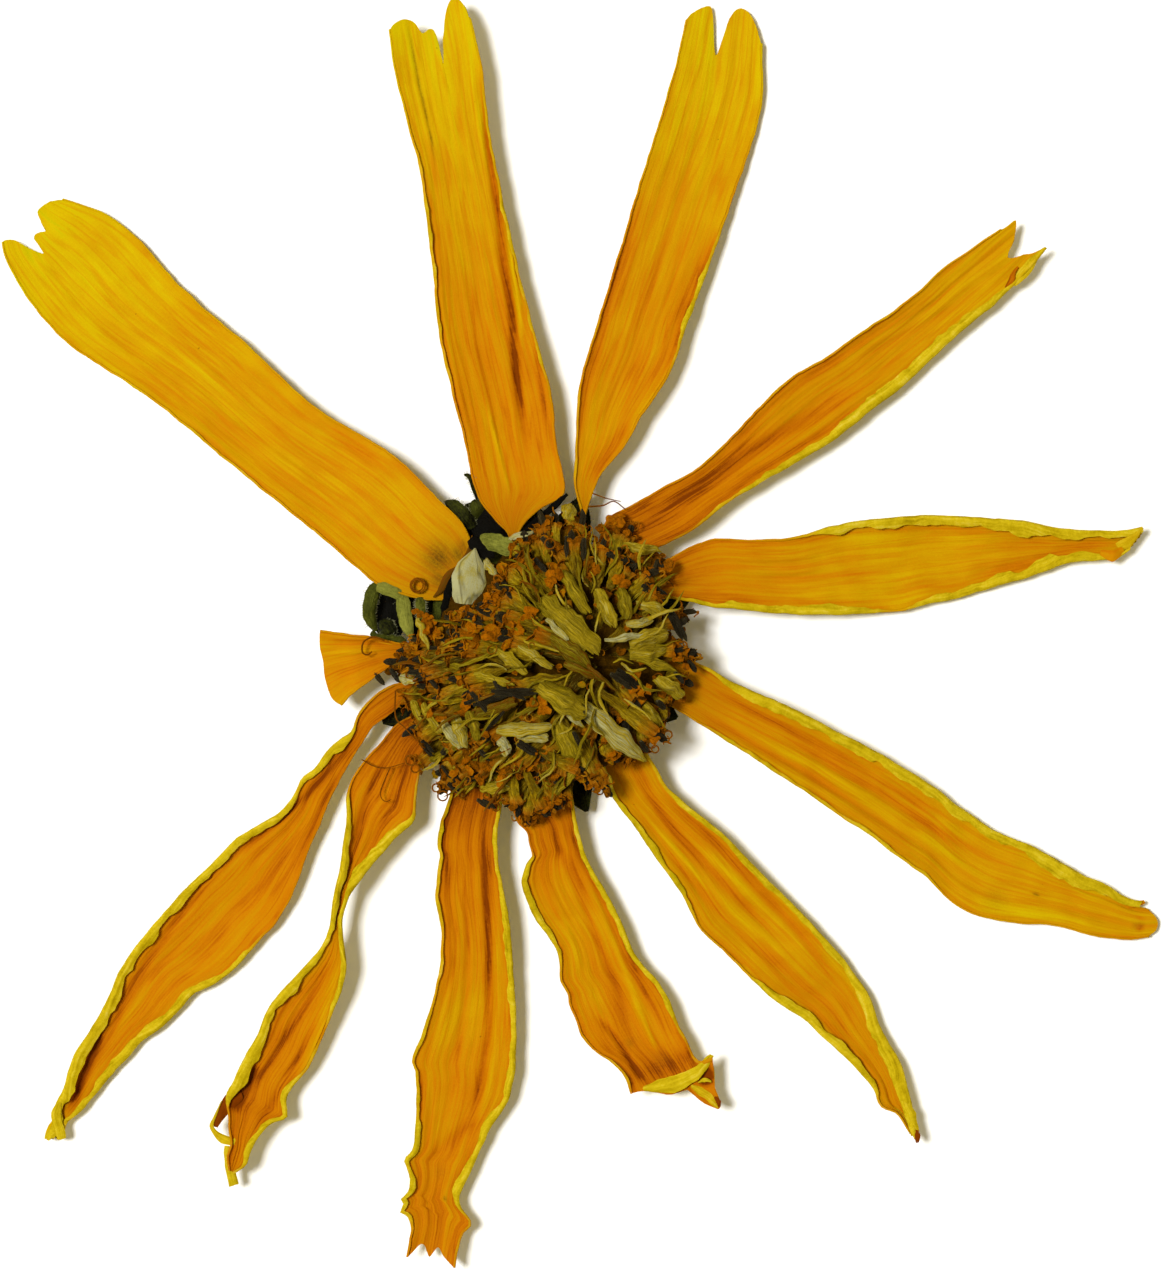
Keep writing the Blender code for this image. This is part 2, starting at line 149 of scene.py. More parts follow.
def surroundings():
    """Warm light from above that turns into a pale haze at the horizon."""
    world = bpy.data.worlds.new("warm surroundings")
    world.use_nodes = True
    nodes = world.node_tree.nodes
    links = world.node_tree.links
    direction = nodes.new("ShaderNodeTexCoord")
    split = nodes.new("ShaderNodeSeparateXYZ")
    height = nodes.new("ShaderNodeMapRange")
    height.interpolation_type = "SMOOTHSTEP"
    height.inputs["From Min"].default_value = HAZE_HEIGHT[0]
    height.inputs["From Max"].default_value = HAZE_HEIGHT[1]
    mixed = nodes.new("ShaderNodeMix")
    mixed.data_type = "RGBA"
    mixed.inputs[6].default_value = FILL_HORIZON
    mixed.inputs[7].default_value = FILL_ABOVE
    links.new(direction.outputs["Generated"], split.inputs[0])
    links.new(split.outputs["Z"], height.inputs["Value"])
    links.new(height.outputs["Result"], mixed.inputs["Factor"])
    links.new(mixed.outputs[2], nodes["Background"].inputs["Color"])
    bpy.context.scene.world = world


card((0.98, 0.98, 0.975, 1.0), 0.9)
key_light()
surroundings()
bpy.context.scene.view_settings.view_transform = "Standard"
print("light comes from", tuple(round(v, 2) for v in KEY_PLACE.normalized()))

# %% [markdown]
# Everything on a flower is a thin curved sheet or a slim tube. Both are grids of points: a sheet is rows of points
# from its foot to its tip, a tube is rings of points along a path. Working with whole grids in numpy is quick, and the
# curves stay formulas. One smooth curve through a few given points serves for edges, folds and threads alike.

# %% Curves
def smooth_chain(points, steps=8):
    """Dense points of a smooth curve that runs through the given ones."""
    given = [np.array(point, float) for point in points]
    padded = [2 * given[0] - given[1], *given, 2 * given[-1] - given[-2]]
    chain = []
    for before, start, end, after in zip(padded, padded[1:], padded[2:], padded[3:]):
        pull = end - before
        bend = 2 * before - 5 * start + 4 * end - after
        twist = 3 * start - before - 3 * end + after
        for step in range(steps):
            t = step / steps
            chain.append(start + 0.5 * t * (pull + t * (bend + t * twist)))
    chain.append(given[-1])
    return np.array(chain)


def read_along(chain, shares):
    """Points at the given shares of a chain's length."""
    steps = np.linalg.norm(np.diff(chain, axis=0), axis=1)
    lengths = np.concatenate([[0.0], np.cumsum(steps)])
    wanted = np.asarray(shares) * lengths[-1]
    return np.stack([np.interp(wanted, lengths, chain[:, axis]) for axis in range(chain.shape[1])], axis=1)


def ripple(points, scale, seed):
    """Smooth random numbers from -1 to 1 over points in millimetres."""
    flat = points.reshape(-1, points.shape[-1]) * scale
    values = [noise.noise(Vector((p[0], p[1], p[2] if len(p) > 2 else 0.0)) + Vector((0, 0, seed))) for p in flat]
    return np.array(values).reshape(points.shape[:-1])


print("a test curve has", len(smooth_chain([(0, 0), (1, 1), (2, 0)])), "points")

# %% [markdown]
# A grid only becomes a surface when its points are joined by faces. The collector below takes many grids
# and makes one mesh of them, so that hundreds of florets are one object with one material. A thin sheet
# goes in as two grids, its upper and its lower face, with a rim between them: it then has a real
# thickness and can show another colour on its back. Numbers that a material needs later, such as the
# distance along a petal, are stored on the points as attributes.

# %% Collector of surfaces
class Surfaces:
    """Grids of points in millimetres that are gathered first and then become one mesh."""

    def __init__(self):
        self.points = []
        self.faces = []
        self.slots = []
        self.facts = {}
        self.count = 0

    def take(self, grid, facts):
        rows, columns = grid.shape[:2]
        index = self.count + np.arange(rows * columns).reshape(rows, columns)
        self.points.append(grid.reshape(-1, 3))
        for name, value in facts.items():
            spread = np.broadcast_to(np.asarray(value, float), (rows, columns)).ravel()
            self.facts.setdefault(name, []).append(spread)
        self.count += rows * columns
        return index

    def join(self, index, slot):
        corners = (index[:-1, :-1], index[:-1, 1:], index[1:, 1:], index[1:, :-1])
        quads = np.stack(corners, axis=-1).reshape(-1, 4)
        self.faces.extend(quads.tolist())
        self.slots.extend([slot] * len(quads))

    def sheet(self, upper, lower, slots=(0, 1), **facts):
        """A closed thin solid between two grids. A fact that is a pair differs from the upper to the lower."""
        pairs = {name: value if isinstance(value, tuple) else (value, value) for name, value in facts.items()}
        top = self.take(upper, {name: pair[0] for name, pair in pairs.items()})
        low = self.take(lower, {name: pair[1] for name, pair in pairs.items()})
        self.join(top, slots[0])
        self.join(low[:, ::-1], slots[1])
        for a, b in ((top[:, 0], low[:, 0]), (low[:, -1], top[:, -1]), (low[0], top[0]), (top[-1], low[-1])):
            self.join(np.stack([a, b]), slots[1])

    def tube(self, rings, slot=0, **facts):
        """A closed solid through rings of points, with a flat cap at each end."""
        index = self.take(rings, facts)
        closed = np.hstack([index, index[:, :1]])
        self.join(closed, slot)
        self.faces.append(index[0][::-1].tolist())
        self.faces.append(index[-1].tolist())
        self.slots.extend([slot, slot])

    def piece(self, name, materials, slot, *nodes, sharp=50.0):
        """The gathered surfaces as one object that stands for the given nodes."""
        mesh = bpy.data.meshes.new(name)
        mesh.from_pydata((np.concatenate(self.points) * MM).tolist(), [], self.faces)
        mesh.polygons.foreach_set("material_index", self.slots)
        for fact, values in self.facts.items():
            stored = mesh.attributes.new(fact, "FLOAT", "POINT")
            stored.data.foreach_set("value", np.concatenate(values).astype(np.float32))
        for material in materials:
            mesh.materials.append(material)
        mesh.shade_smooth()
        mesh.set_sharp_from_angle(angle=math.radians(sharp))
        item = bpy.data.objects.new(name, mesh)
        bpy.context.scene.collection.objects.link(item)
        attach(item, "root")
        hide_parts(*nodes)
        return item


def facing(grid):
    """Unit normals of a grid that point up where its rows run away and its columns run right."""
    along = np.gradient(grid, axis=0)
    across = np.gradient(grid, axis=1)
    normal = np.cross(across, along)
    return normal / np.maximum(np.linalg.norm(normal, axis=-1, keepdims=True), 1e-9)


print("the collector is ready")

# %% [markdown]
# A material is a small graph. A few helpers keep each one readable: they add a node, do sums on sockets,
# read a stored number and lay a colour ramp. Colours are written as the 0 to 255 values that an eye
# compares on a screen, and turned into the linear values that a shader wants.

# %% Helpers for materials
OVEREXPOSURE = 1.32


def paint(red, green, blue):
    """The shader's linear colour that shows as this screen colour in the bright light."""
    linear = [(v / 255 / 12.92) if v <= 10 else ((v / 255 + 0.055) / 1.055) ** 2.4 for v in (red, green, blue)]
    return (*(value / OVEREXPOSURE for value in linear), 1.0)


def add(tree, kind, settings=None, **sockets):
    """A new node, with its settings and with numbers or links for its sockets."""
    made = tree.nodes.new(kind)
    for name, value in (settings or {}).items():
        setattr(made, name, value)
    for name, value in sockets.items():
        put(tree, made.inputs[name.replace("_", " ")], value)
    return made


def put(tree, socket, value):
    """Links a socket, or sets its number."""
    if isinstance(value, bpy.types.NodeSocket):
        tree.links.new(value, socket)
    else:
        socket.default_value = value


def maths(tree, operation, first, second=0.0, clamp=False):
    made = add(tree, "ShaderNodeMath", {"operation": operation, "use_clamp": clamp})
    put(tree, made.inputs[0], first)
    put(tree, made.inputs[1], second)
    return made.outputs[0]


def fact(tree, name):
    return add(tree, "ShaderNodeAttribute", {"attribute_name": name}).outputs["Fac"]


def place(tree, x, y, z=0.0):
    return add(tree, "ShaderNodeCombineXYZ", X=x, Y=y, Z=z).outputs[0]


def grain(tree, where, scale, detail=2.0, rough=0.5):
    """Noise round zero, from about -0.5 to 0.5."""
    made = add(tree, "ShaderNodeTexNoise", Vector=where, Scale=scale, Detail=detail, Roughness=rough)
    return maths(tree, "SUBTRACT", made.outputs["Fac"], 0.5)


def hairlines(tree, where, scale, thinness):
    """Thin lines, 1 on the line and 0 off it, where a noise passes its middle."""
    off = maths(tree, "ABSOLUTE", grain(tree, where, scale, 2.0))
    return maths(tree, "SUBTRACT", 1.0, maths(tree, "MULTIPLY", off, thinness), True)


def ramp(tree, value, stops):
    made = add(tree, "ShaderNodeValToRGB", Fac=value)
    band = made.color_ramp
    while len(band.elements) < len(stops):
        band.elements.new(0.5)
    for element, (position, colour) in zip(band.elements, stops):
        element.position = position
        element.color = colour
    return made.outputs["Color"]


def blend(tree, share, first, second, mode="MIX"):
    made = add(tree, "ShaderNodeMix", {"data_type": "RGBA", "blend_type": mode})
    put(tree, made.inputs["Factor"], share)
    put(tree, made.inputs[6], first)
    put(tree, made.inputs[7], second)
    return made.outputs[2]


def new_finish(name):
    material = bpy.data.materials.new(name)
    material.use_nodes = True
    return material, material.node_tree, material.node_tree.nodes["Principled BSDF"]


def relief(tree, shader, height, depth_mm):
    """A bump whose full height is the given depth."""
    made = add(tree, "ShaderNodeBump", Strength=1.0, Distance=depth_mm * MM, Height=height)
    tree.links.new(made.outputs["Normal"], shader.inputs["Normal"])


print("a strong yellow is", [round(v, 3) for v in paint(222, 190, 0)[:3]])

# %% [markdown]
# The petals come first, because they are most of the picture. Each is written down by two rails, its
# left and its right edge from foot to tip, and by the short outline of lobes and notches that joins the
# ends of the rails. Such a list could be drawn as a Bezier curve too, but a list of points read off the
# picture is easy to check and to mend. Left is the left hand of somebody at the disc who looks out along
# the petal. The heights are those of the imported solids.
#
# In drying, the margins rolled in over the face and show their pale backs. The rolls say how wide that pale flap is,
# at distances from the disc's middle. Folds are lines on the face: a negative depth is a valley, which the colour
# darkens with painted shade, and a positive one is a ridge, which it lightens with a painted highlight. Warmth says
# how orange the petal is at its foot, middle and tip. Stains are round olive-brown blots.

# %% Outlines of the petals
PETALS = {}
PETALS["ray_01"] = {
    "left": [(-9.5, 2.2), (-11.1, 2.5), (-12.9, 3.3), (-15.4, 5.4), (-17.7, 7.3), (-20.2, 9.3), (-22.9, 11.5),
             (-25.3, 13.5), (-27.7, 15.3), (-30.2, 16.9), (-32.6, 18.6), (-34.6, 20.9), (-36.0, 23.3),
             (-36.3, 24.5)],
    "right": [(-6.8, 5.4), (-7.4, 7.0), (-8.9, 8.5), (-11.4, 11.0), (-13.9, 12.6), (-16.4, 14.1), (-18.8, 16.2),
              (-21.1, 18.4), (-23.4, 20.3), (-25.7, 22.5), (-27.7, 24.8), (-29.6, 26.3), (-31.1, 26.9),
              (-32.4, 27.3)],
    "tip": [(-36.25, 24.7), (-36.0, 24.8), (-35.5, 24.76), (-34.7, 24.3), (-34.0, 24.0), (-33.75, 24.0),
            (-34.1, 24.5), (-34.34, 24.9), (-34.3, 25.15), (-34.0, 25.3), (-33.6, 25.4), (-33.9, 25.9),
            (-34.14, 26.45), (-34.05, 26.75), (-33.6, 27.1), (-33.1, 27.25)],
    "heights": (3.5, 2.6, 1.4, 0.5, 0.6),
    "rolls": ([(9, 0.05), (14, 0.1), (22, 0.15), (32, 0.12), (37, 0.05), (44, 0)],
              [(9, 0), (20, 0.04), (30, 0.02), (44, 0)]),
    "folds": [(-0.12, 0.25, [(-29.5, 17.5), (-26.4, 15.0), (-21.4, 10.7), (-16.4, 6.3)]),
              (-0.15, 0.35, [(-22.0, 17.6), (-18.2, 14.4), (-14.8, 12.2), (-11.0, 8.9)]),
              (0.08, 0.4, [(-27.0, 19.0), (-20.0, 13.2), (-13.0, 7.6)])],
    "stains": [(-8.9, 4.8, 0.9, 0.7), (-7.7, 5.0, 0.6, 0.6), (-8.9, 3.5, 0.5, 0.6), (-7.4, 5.5, 0.4, 0.5)],
    "warmth": (0.46, 0.44, 0.15)}
PETALS["ray_02"] = {
    "left": [(-4.6, 6.2), (-5.4, 7.1), (-6.4, 8.5), (-6.9, 10.0), (-7.3, 12.0), (-7.8, 14.0), (-8.3, 16.0),
             (-8.8, 18.2), (-9.1, 20.4), (-9.3, 22.8), (-9.7, 26.0), (-10.1, 29.0), (-10.8, 31.6), (-11.6, 34.6),
             (-12.0, 37.2)],
    "right": [(-3.9, 6.4), (-2.6, 7.9), (-1.1, 8.8), (-1.2, 10.2), (-1.6, 12.2), (-1.8, 14.4), (-2.3, 16.6),
              (-2.9, 18.8), (-3.5, 21.0), (-4.1, 23.6), (-4.8, 26.6), (-5.4, 29.6), (-5.9, 32.4), (-6.2, 35.2),
              (-6.8, 37.6)],
    "tip": [(-11.92, 37.6), (-11.7, 37.95), (-11.3, 38.22), (-10.9, 38.3), (-10.4, 38.1), (-9.95, 37.45),
            (-9.6, 37.68), (-9.3, 37.7), (-9.05, 37.3), (-8.85, 36.5), (-8.65, 35.1), (-8.62, 37.0),
            (-8.55, 38.3), (-8.35, 39.2), (-8.1, 39.58), (-7.8, 39.6), (-7.45, 39.3), (-7.05, 38.5)],
    "heights": (3.5, 2.8, 2.2, 2.4, 2.8),
    "rolls": ([(9, 0), (15, 0.1), (20, 0.17), (26, 0.2), (33, 0.18), (36, 0.05), (42, 0)],
              [(9, 0.05), (16, 0.1), (19, 0.18), (28, 0.22), (34, 0.18), (37, 0.05), (42, 0)]),
    "folds": [(-0.66, 0.25, [(-6.6, 36.2), (-6.1, 33.3), (-5.7, 29.6), (-5.1, 25.5), (-4.8, 22.8), (-4.4, 20.2),
                            (-4.2, 17.6), (-3.9, 15.0), (-3.3, 11.0)]),
              (0.4, 0.2, [(-5.6, 31.5), (-5.2, 29.0), (-4.6, 25.5), (-4.3, 22.8), (-3.9, 20.2), (-3.7, 17.6)]),
              (-0.3, 0.25, [(-9.6, 27.5), (-9.2, 24.0), (-8.9, 20.0), (-8.2, 16.0), (-7.5, 13.0)]),
              (-0.25, 0.22, [(-2.9, 18.5), (-2.6, 16.0), (-2.1, 13.5), (-1.7, 11.0)]),
              (-0.1, 0.1, [(-10.7, 37.2), (-10.1, 34.1), (-9.5, 31.6), (-9.0, 28.5), (-8.5, 26.0)]),
              (0.26, 0.12, [(-5.9, 14.5), (-5.4, 12.4), (-4.9, 10.4), (-4.4, 8.4)]),
              (0.12, 0.35, [(-8.2, 30.0), (-7.4, 24.0), (-6.6, 18.0)])],
    "scars": [(0.6, 0.06, [(-11.0, 38.0), (-10.7, 37.2), (-10.1, 34.1), (-9.5, 31.6), (-9.1, 29.0)])],
    "warmth": (0.58, 0.55, 0.17)}
PETALS["ray_03"] = {
    "left": [(-0.1, 7.4), (-0.5, 9.2), (-0.5, 10.4), (-0.4, 12.2), (-0.3, 14.4), (0.0, 16.4), (0.5, 18.0),
             (1.2, 20.4), (2.0, 23.0), (2.8, 25.6), (3.6, 28.4), (4.4, 30.9), (5.2, 33.5), (5.8, 35.6),
             (6.3, 37.8)],
    "right": [(0.3, 7.4), (0.8, 9.2), (1.5, 10.4), (2.7, 11.8), (3.7, 13.6), (4.9, 15.3), (5.8, 17.0),
              (6.5, 19.2), (7.5, 21.8), (8.4, 24.3), (9.3, 26.9), (10.2, 29.4), (11.0, 31.9), (11.35, 33.8),
              (11.3, 36.8)],
    "tip": [(6.8, 38.9), (7.8, 39.45), (8.2, 39.1), (8.35, 36.4), (8.8, 37.4), (9.3, 38.8), (9.95, 39.35),
            (10.7, 38.7)],
    "heights": (3.5, 2.6, 1.5, 0.6, 0.5),
    "rolls": ([(9, 0.1), (12, 0.14), (18, 0.14), (22, 0.1), (30, 0.07), (34, 0)],
              [(9, 0), (17, 0.05), (20, 0.17), (24, 0.3), (28, 0.2), (30, 0.05), (42, 0)]),
    "folds": [(-0.15, 0.22, [(3.9, 28.5), (2.8, 24.7), (1.7, 21.0), (0.9, 17.6), (0.2, 14.0), (0.0, 10.6)]),
              (-0.3, 0.4, [(8.4, 25.6), (7.3, 22.6), (6.3, 20.2), (5.5, 17.4), (4.4, 15.8)]),
              (-0.1, 0.25, [(6.9, 28.2), (6.1, 24.1), (5.4, 21.0), (4.0, 17.6), (2.4, 14.0)]),
              (-0.06, 0.1, [(7.2, 38.3), (6.9, 36.0), (6.6, 33.5), (6.2, 31.0)]),
              (-0.25, 0.35, [(3.0, 13.4), (1.6, 11.4), (0.6, 9.4)])],
    "warmth": (0.47, 0.57, 0.18)}
PETALS["ray_04"] = {
    "left": [(1.4, 7.0), (2.9, 8.0), (5.0, 9.2), (7.0, 10.3), (9.0, 12.1), (11.0, 14.2), (13.0, 16.1),
             (15.1, 17.3), (17.2, 18.8), (19.3, 20.2), (21.1, 21.6), (22.6, 23.0), (24.4, 23.9), (25.2, 24.2)],
    "right": [(3.2, 4.8), (5.0, 5.6), (7.0, 6.6), (9.0, 8.2), (11.3, 9.6), (13.6, 10.9), (15.9, 12.3),
              (18.0, 14.0), (19.9, 15.4), (21.6, 17.0), (23.4, 18.7), (25.2, 20.2), (27.0, 21.6), (27.8, 22.4)],
    "tip": [(25.8, 25.0), (26.6, 25.6), (27.1, 25.9), (27.0, 24.8), (26.6, 23.6), (27.65, 23.8), (28.2, 23.9),
            (29.05, 24.25), (28.6, 23.4)],
    "heights": (3.5, 2.4, 1.4, 1.2, 1.6),
    "tip_zone": 3.0,
    "rolls": ([(9, 0.05), (14, 0.1), (30, 0.13), (35, 0.06), (38, 0)],
              [(9, 0.05), (14, 0.2), (17, 0.3), (22, 0.5), (25.5, 0.7), (31, 0.8), (35, 0.5), (38, 0.2)]),
    "folds": [(-0.15, 0.2, [(7.4, 10.2), (9.9, 12.4), (12.4, 14.7), (16.1, 17.4), (19.9, 20.0), (21.4, 21.2)]),
              (-0.35, 0.45, [(3.6, 7.0), (7.4, 9.5), (11.1, 11.9), (14.9, 14.0), (17.4, 15.6)]),
              (-0.2, 0.25, [(8.6, 8.9), (13.6, 11.8), (17.4, 14.4), (20.5, 16.8)]),
              (-0.15, 0.25, [(16.5, 16.9), (20.5, 19.0), (24.0, 21.0)]),
              (0.12, 0.3, [(12.0, 14.0), (17.0, 17.2), (22.0, 20.6)])],
    "warmth": (0.9, 0.56, 0.36)}
PETALS["ray_05"] = {
    "left": [(4.9, 4.4), (6.2, 5.3), (8.0, 6.0), (10.0, 6.0), (12.4, 6.05), (13.8, 6.3), (16.0, 6.95),
             (18.0, 7.25), (20.0, 7.45), (22.0, 7.55), (25.0, 7.4), (28.0, 7.15), (29.6, 6.8), (32.0, 6.65),
             (33.6, 6.7), (34.7, 6.95)],
    "right": [(4.6, 2.3), (6.2, 2.2), (8.2, 1.75), (10.0, 1.6), (12.5, 1.35), (15.0, 1.27), (17.5, 1.35),
              (19.9, 1.5), (21.5, 1.95), (23.5, 2.3), (25.5, 2.95), (27.5, 3.5), (29.2, 4.1), (30.6, 4.55),
              (32.4, 4.7), (33.2, 4.7), (34.1, 5.35)],
    "tip": [(35.0, 6.8), (34.95, 6.3)],
    "heights": (3.5, 1.8, 0.5, 0.6, 1.4),
    "rolls": ([(9, 0), (15.5, 0), (18.4, 0.2), (20, 0.55), (24, 0.6), (29.6, 0.7), (31.4, 0.85), (33.2, 0.6),
               (35, 0.45), (37, 0.5)],
              [(9, 0.15), (10.4, 0.25), (12.6, 0.5), (16.4, 0.55), (18.4, 0.6), (20.3, 0.4), (22.1, 0),
               (23.4, 0.3), (25.4, 0.45), (27.5, 0.6), (29.6, 0.7), (31.1, 0.85), (32.7, 0.7), (34.2, 0.6),
               (36.5, 0.3)]),
    "folds": [(-0.2, 0.25, [(10.0, 5.5), (14.0, 5.9), (17.4, 6.5), (21.8, 6.7), (27.0, 6.3), (31.0, 5.9)]),
              (-0.2, 0.2, [(6.8, 2.6), (9.9, 2.3), (13.6, 2.1), (18.0, 2.1), (20.5, 2.2)]),
              (-0.12, 0.25, [(8.6, 3.3), (13.6, 3.6), (17.4, 3.9), (21.1, 4.3), (26.1, 4.7)]),
              (0.1, 0.3, [(8.0, 4.6), (13.0, 4.8), (20.0, 5.4), (27.0, 5.6)]),
              (-0.3, 0.3, [(24.0, 3.6), (28.0, 4.6), (31.0, 5.5), (34.0, 5.8)])],
    "warmth": (0.7, 0.38, 0.47)}
PETALS["ray_06"] = {
    "left": [(5.2, -0.9), (7.3, -1.7), (9.0, -2.7), (10.0, -3.15), (12.0, -4.0), (14.0, -4.95), (16.0, -6.0),
             (18.0, -7.0), (20.0, -8.2), (22.0, -9.5), (24.0, -11.0), (26.0, -12.3), (28.0, -13.1),
             (30.0, -14.2), (31.5, -15.0), (32.5, -15.4), (34.2, -16.4), (35.2, -16.65)],
    "right": [(4.2, -3.4), (6.0, -4.7), (8.0, -5.95), (10.0, -7.2), (12.0, -8.5), (14.0, -9.8), (16.0, -11.2),
              (18.0, -12.5), (20.0, -14.0), (21.5, -15.1), (23.0, -16.6), (24.5, -17.5), (26.0, -17.9),
              (28.0, -18.1), (30.0, -18.3), (32.0, -18.85), (34.0, -19.1), (35.2, -18.95)],
    "tip": [(34.9, -17.0), (35.5, -17.2), (36.0, -17.7), (36.1, -18.2), (35.8, -18.65)],
    "heights": (3.5, 1.8, 0.7, 0.5, 0.6),
    "rolls": ([(9, 0.1), (11, 0.4), (15, 0.65), (25, 0.65), (30, 0.6), (34, 0.8), (37, 0.9), (39, 0.6), (41, 0.2)],
              [(9, 0.05), (12, 0.2), (22, 0.22), (27, 0.2), (29, 0), (42, 0)]),
    "folds": [(-0.4, 0.3, [(6.6, -2.6), (9.4, -4.1), (13.0, -5.9), (16.8, -7.9), (19.9, -9.8), (23.6, -12.0)]),
              (-0.25, 0.25, [(6.4, -4.2), (11.1, -7.0), (14.9, -9.2), (18.6, -11.6), (21.4, -13.8)]),
              (-0.25, 0.3, [(11.1, -5.9), (14.9, -7.6), (18.6, -9.9), (23.0, -12.6), (28.0, -15.0)]),
              (-0.15, 0.2, [(13.6, -9.0), (17.4, -11.6), (21.1, -14.2)]),
              (0.15, 0.3, [(10.0, -6.2), (15.0, -8.5), (20.0, -12.0), (26.0, -15.5)]),
              (-0.4, 0.12, [(34.9, -17.5), (35.2, -17.9), (35.1, -18.3), (34.8, -18.6)]),
              (0.15, 0.5, [(24.0, -16.6), (28.0, -17.3), (33.0, -18.3)])],
    "stains": [(34.9, -18.2, 0.22, 0.5), (28.4, -16.2, 0.1, 0.9), (26.0, -16.6, 0.7, 0.15)],
    "warmth": (0.57, 0.42, 0.4)}
PETALS["ray_07"] = {
    "left": [(2.4, -5.0), (4.4, -7.8), (5.3, -9.4), (7.0, -10.9), (9.0, -12.5), (10.2, -13.8), (12.0, -15.6),
             (14.0, -17.6), (16.0, -19.8), (17.2, -21.3), (18.0, -22.6), (18.6, -24.2), (19.2, -25.3),
             (20.0, -26.6), (20.5, -28.2), (20.95, -30.0), (21.05, -31.2)],
    "right": [(0.6, -6.4), (1.5, -9.2), (2.2, -10.5), (3.2, -11.8), (4.2, -13.3), (5.2, -14.7), (6.3, -16.3),
              (7.1, -17.9), (7.6, -18.6), (8.6, -19.5), (10.2, -21.1), (12.0, -22.8), (13.8, -23.95),
              (15.2, -25.25), (16.6, -26.5), (18.1, -28.2), (18.6, -29.35), (19.6, -29.75), (20.4, -30.8)],
    "tip": [(20.9, -31.65)],
    "heights": (3.5, 2.2, 1.2, 0.9, 1.8),
    "rolls": ([(9, 0.2), (14, 0.35), (22, 0.35), (27, 0.5), (29, 0.65), (33, 0.85), (37, 0.6)],
              [(9, 0.3), (13, 0.35), (17, 0.25), (19, 0.08), (23, 0.15), (25, 0.5), (29, 0.6), (32, 0.5),
               (34, 0.15), (37, 0.1)]),
    "folds": [(-0.35, 0.3, [(3.0, -7.4), (4.4, -10.2), (5.8, -12.2), (7.4, -13.9), (9.9, -16.6), (13.0, -19.6)]),
              (-0.4, 0.28, [(4.2, -8.6), (6.2, -11.0), (8.6, -13.2), (11.1, -15.8), (13.6, -18.4), (16.1, -21.4)]),
              (-0.25, 0.3, [(4.9, -13.0), (6.8, -15.2), (9.2, -18.0), (11.8, -20.4), (13.6, -22.6)]),
              (0.2, 0.3, [(4.4, -11.6), (6.6, -14.2), (9.6, -17.4), (12.6, -20.2)]),
              (0.2, 0.3, [(6.4, -12.2), (8.9, -14.6), (12.4, -18.0), (15.4, -21.6)]),
              (-0.15, 0.25, [(13.0, -22.0), (15.5, -24.3), (17.6, -26.8), (19.4, -29.2)])],
    "warmth": (0.54, 0.45, 0.54)}
PETALS["ray_08"] = {
    "left": [(-0.9, -7.6), (-0.5, -10.5), (-0.1, -12.5), (0.3, -13.8), (1.0, -15.1), (1.8, -16.5), (2.5, -17.9),
             (3.0, -19.2), (3.7, -20.4), (4.7, -21.5), (5.4, -22.6), (5.8, -23.7), (6.3, -24.7), (7.1, -26.2),
             (8.1, -26.0)],
    "right": [(-3.4, -7.9), (-4.3, -10.3), (-4.1, -11.5), (-3.45, -12.2), (-3.3, -13.0), (-3.1, -13.7),
              (-3.5, -14.3), (-3.75, -15.3), (-3.5, -16.4), (-3.0, -17.5), (-2.1, -18.8), (-1.6, -19.6),
              (-1.4, -20.6), (-1.35, -21.6), (-0.9, -22.4), (-0.75, -23.1), (-0.3, -24.3), (0.0, -25.0),
              (0.8, -25.9), (1.8, -26.5), (2.6, -27.4), (3.0, -28.5)],
    "tip": [(8.2, -27.2), (8.3, -28.3), (8.65, -29.1), (8.45, -29.5), (7.9, -29.1), (7.2, -28.6), (6.6, -28.3),
            (5.6, -28.6), (4.8, -28.5), (3.8, -28.35)],
    "heights": (3.5, 2.4, 1.8, 1.8, 2.4),
    "rolls": ([(9, 0.2), (12, 0.3), (17, 0.4), (22, 0.3), (25, 0.15), (28, 0.1)],
              [(8.5, 0), (11.5, 0.05), (12.8, 0.35), (14.5, 0.45), (17, 0.35), (19, 0.15), (22, 0.1), (26, 0.2),
               (28, 0)]),
    "folds": [(-0.3, 0.3, [(-2.4, -10.2), (-1.4, -13.2), (-0.2, -16.0), (1.0, -19.0), (2.2, -22.2), (3.4, -25.6)]),
              (-0.35, 0.28, [(-1.0, -10.6), (0.2, -14.4), (1.9, -17.8), (3.4, -21.2), (5.4, -25.0)]),
              (0.2, 0.25, [(-0.2, -13.6), (1.4, -17.8), (2.9, -21.5), (4.6, -25.3)]),
              (0.15, 0.22, [(-2.5, -14.0), (-1.1, -17.8), (0.7, -22.4), (2.4, -26.4)]),
              (-0.4, 0.2, [(0.9, -23.6), (2.3, -25.4), (3.2, -26.8), (3.9, -27.8)]),
              (-0.2, 0.6, [(2.4, -27.6), (4.6, -27.1), (7.4, -25.9)]),
              (-0.7, 0.4, [(7.6, -26.8), (7.7, -28.1)]),
              (0.3, 0.16, [(2.9, -22.3), (3.9, -24.3), (4.8, -26.1)])],
    "stains": [(5.0, -26.4, 0.5, 0.2), (3.0, -25.4, 0.3, 0.25)],
    "warmth": (0.94, 0.46, 0.73)}
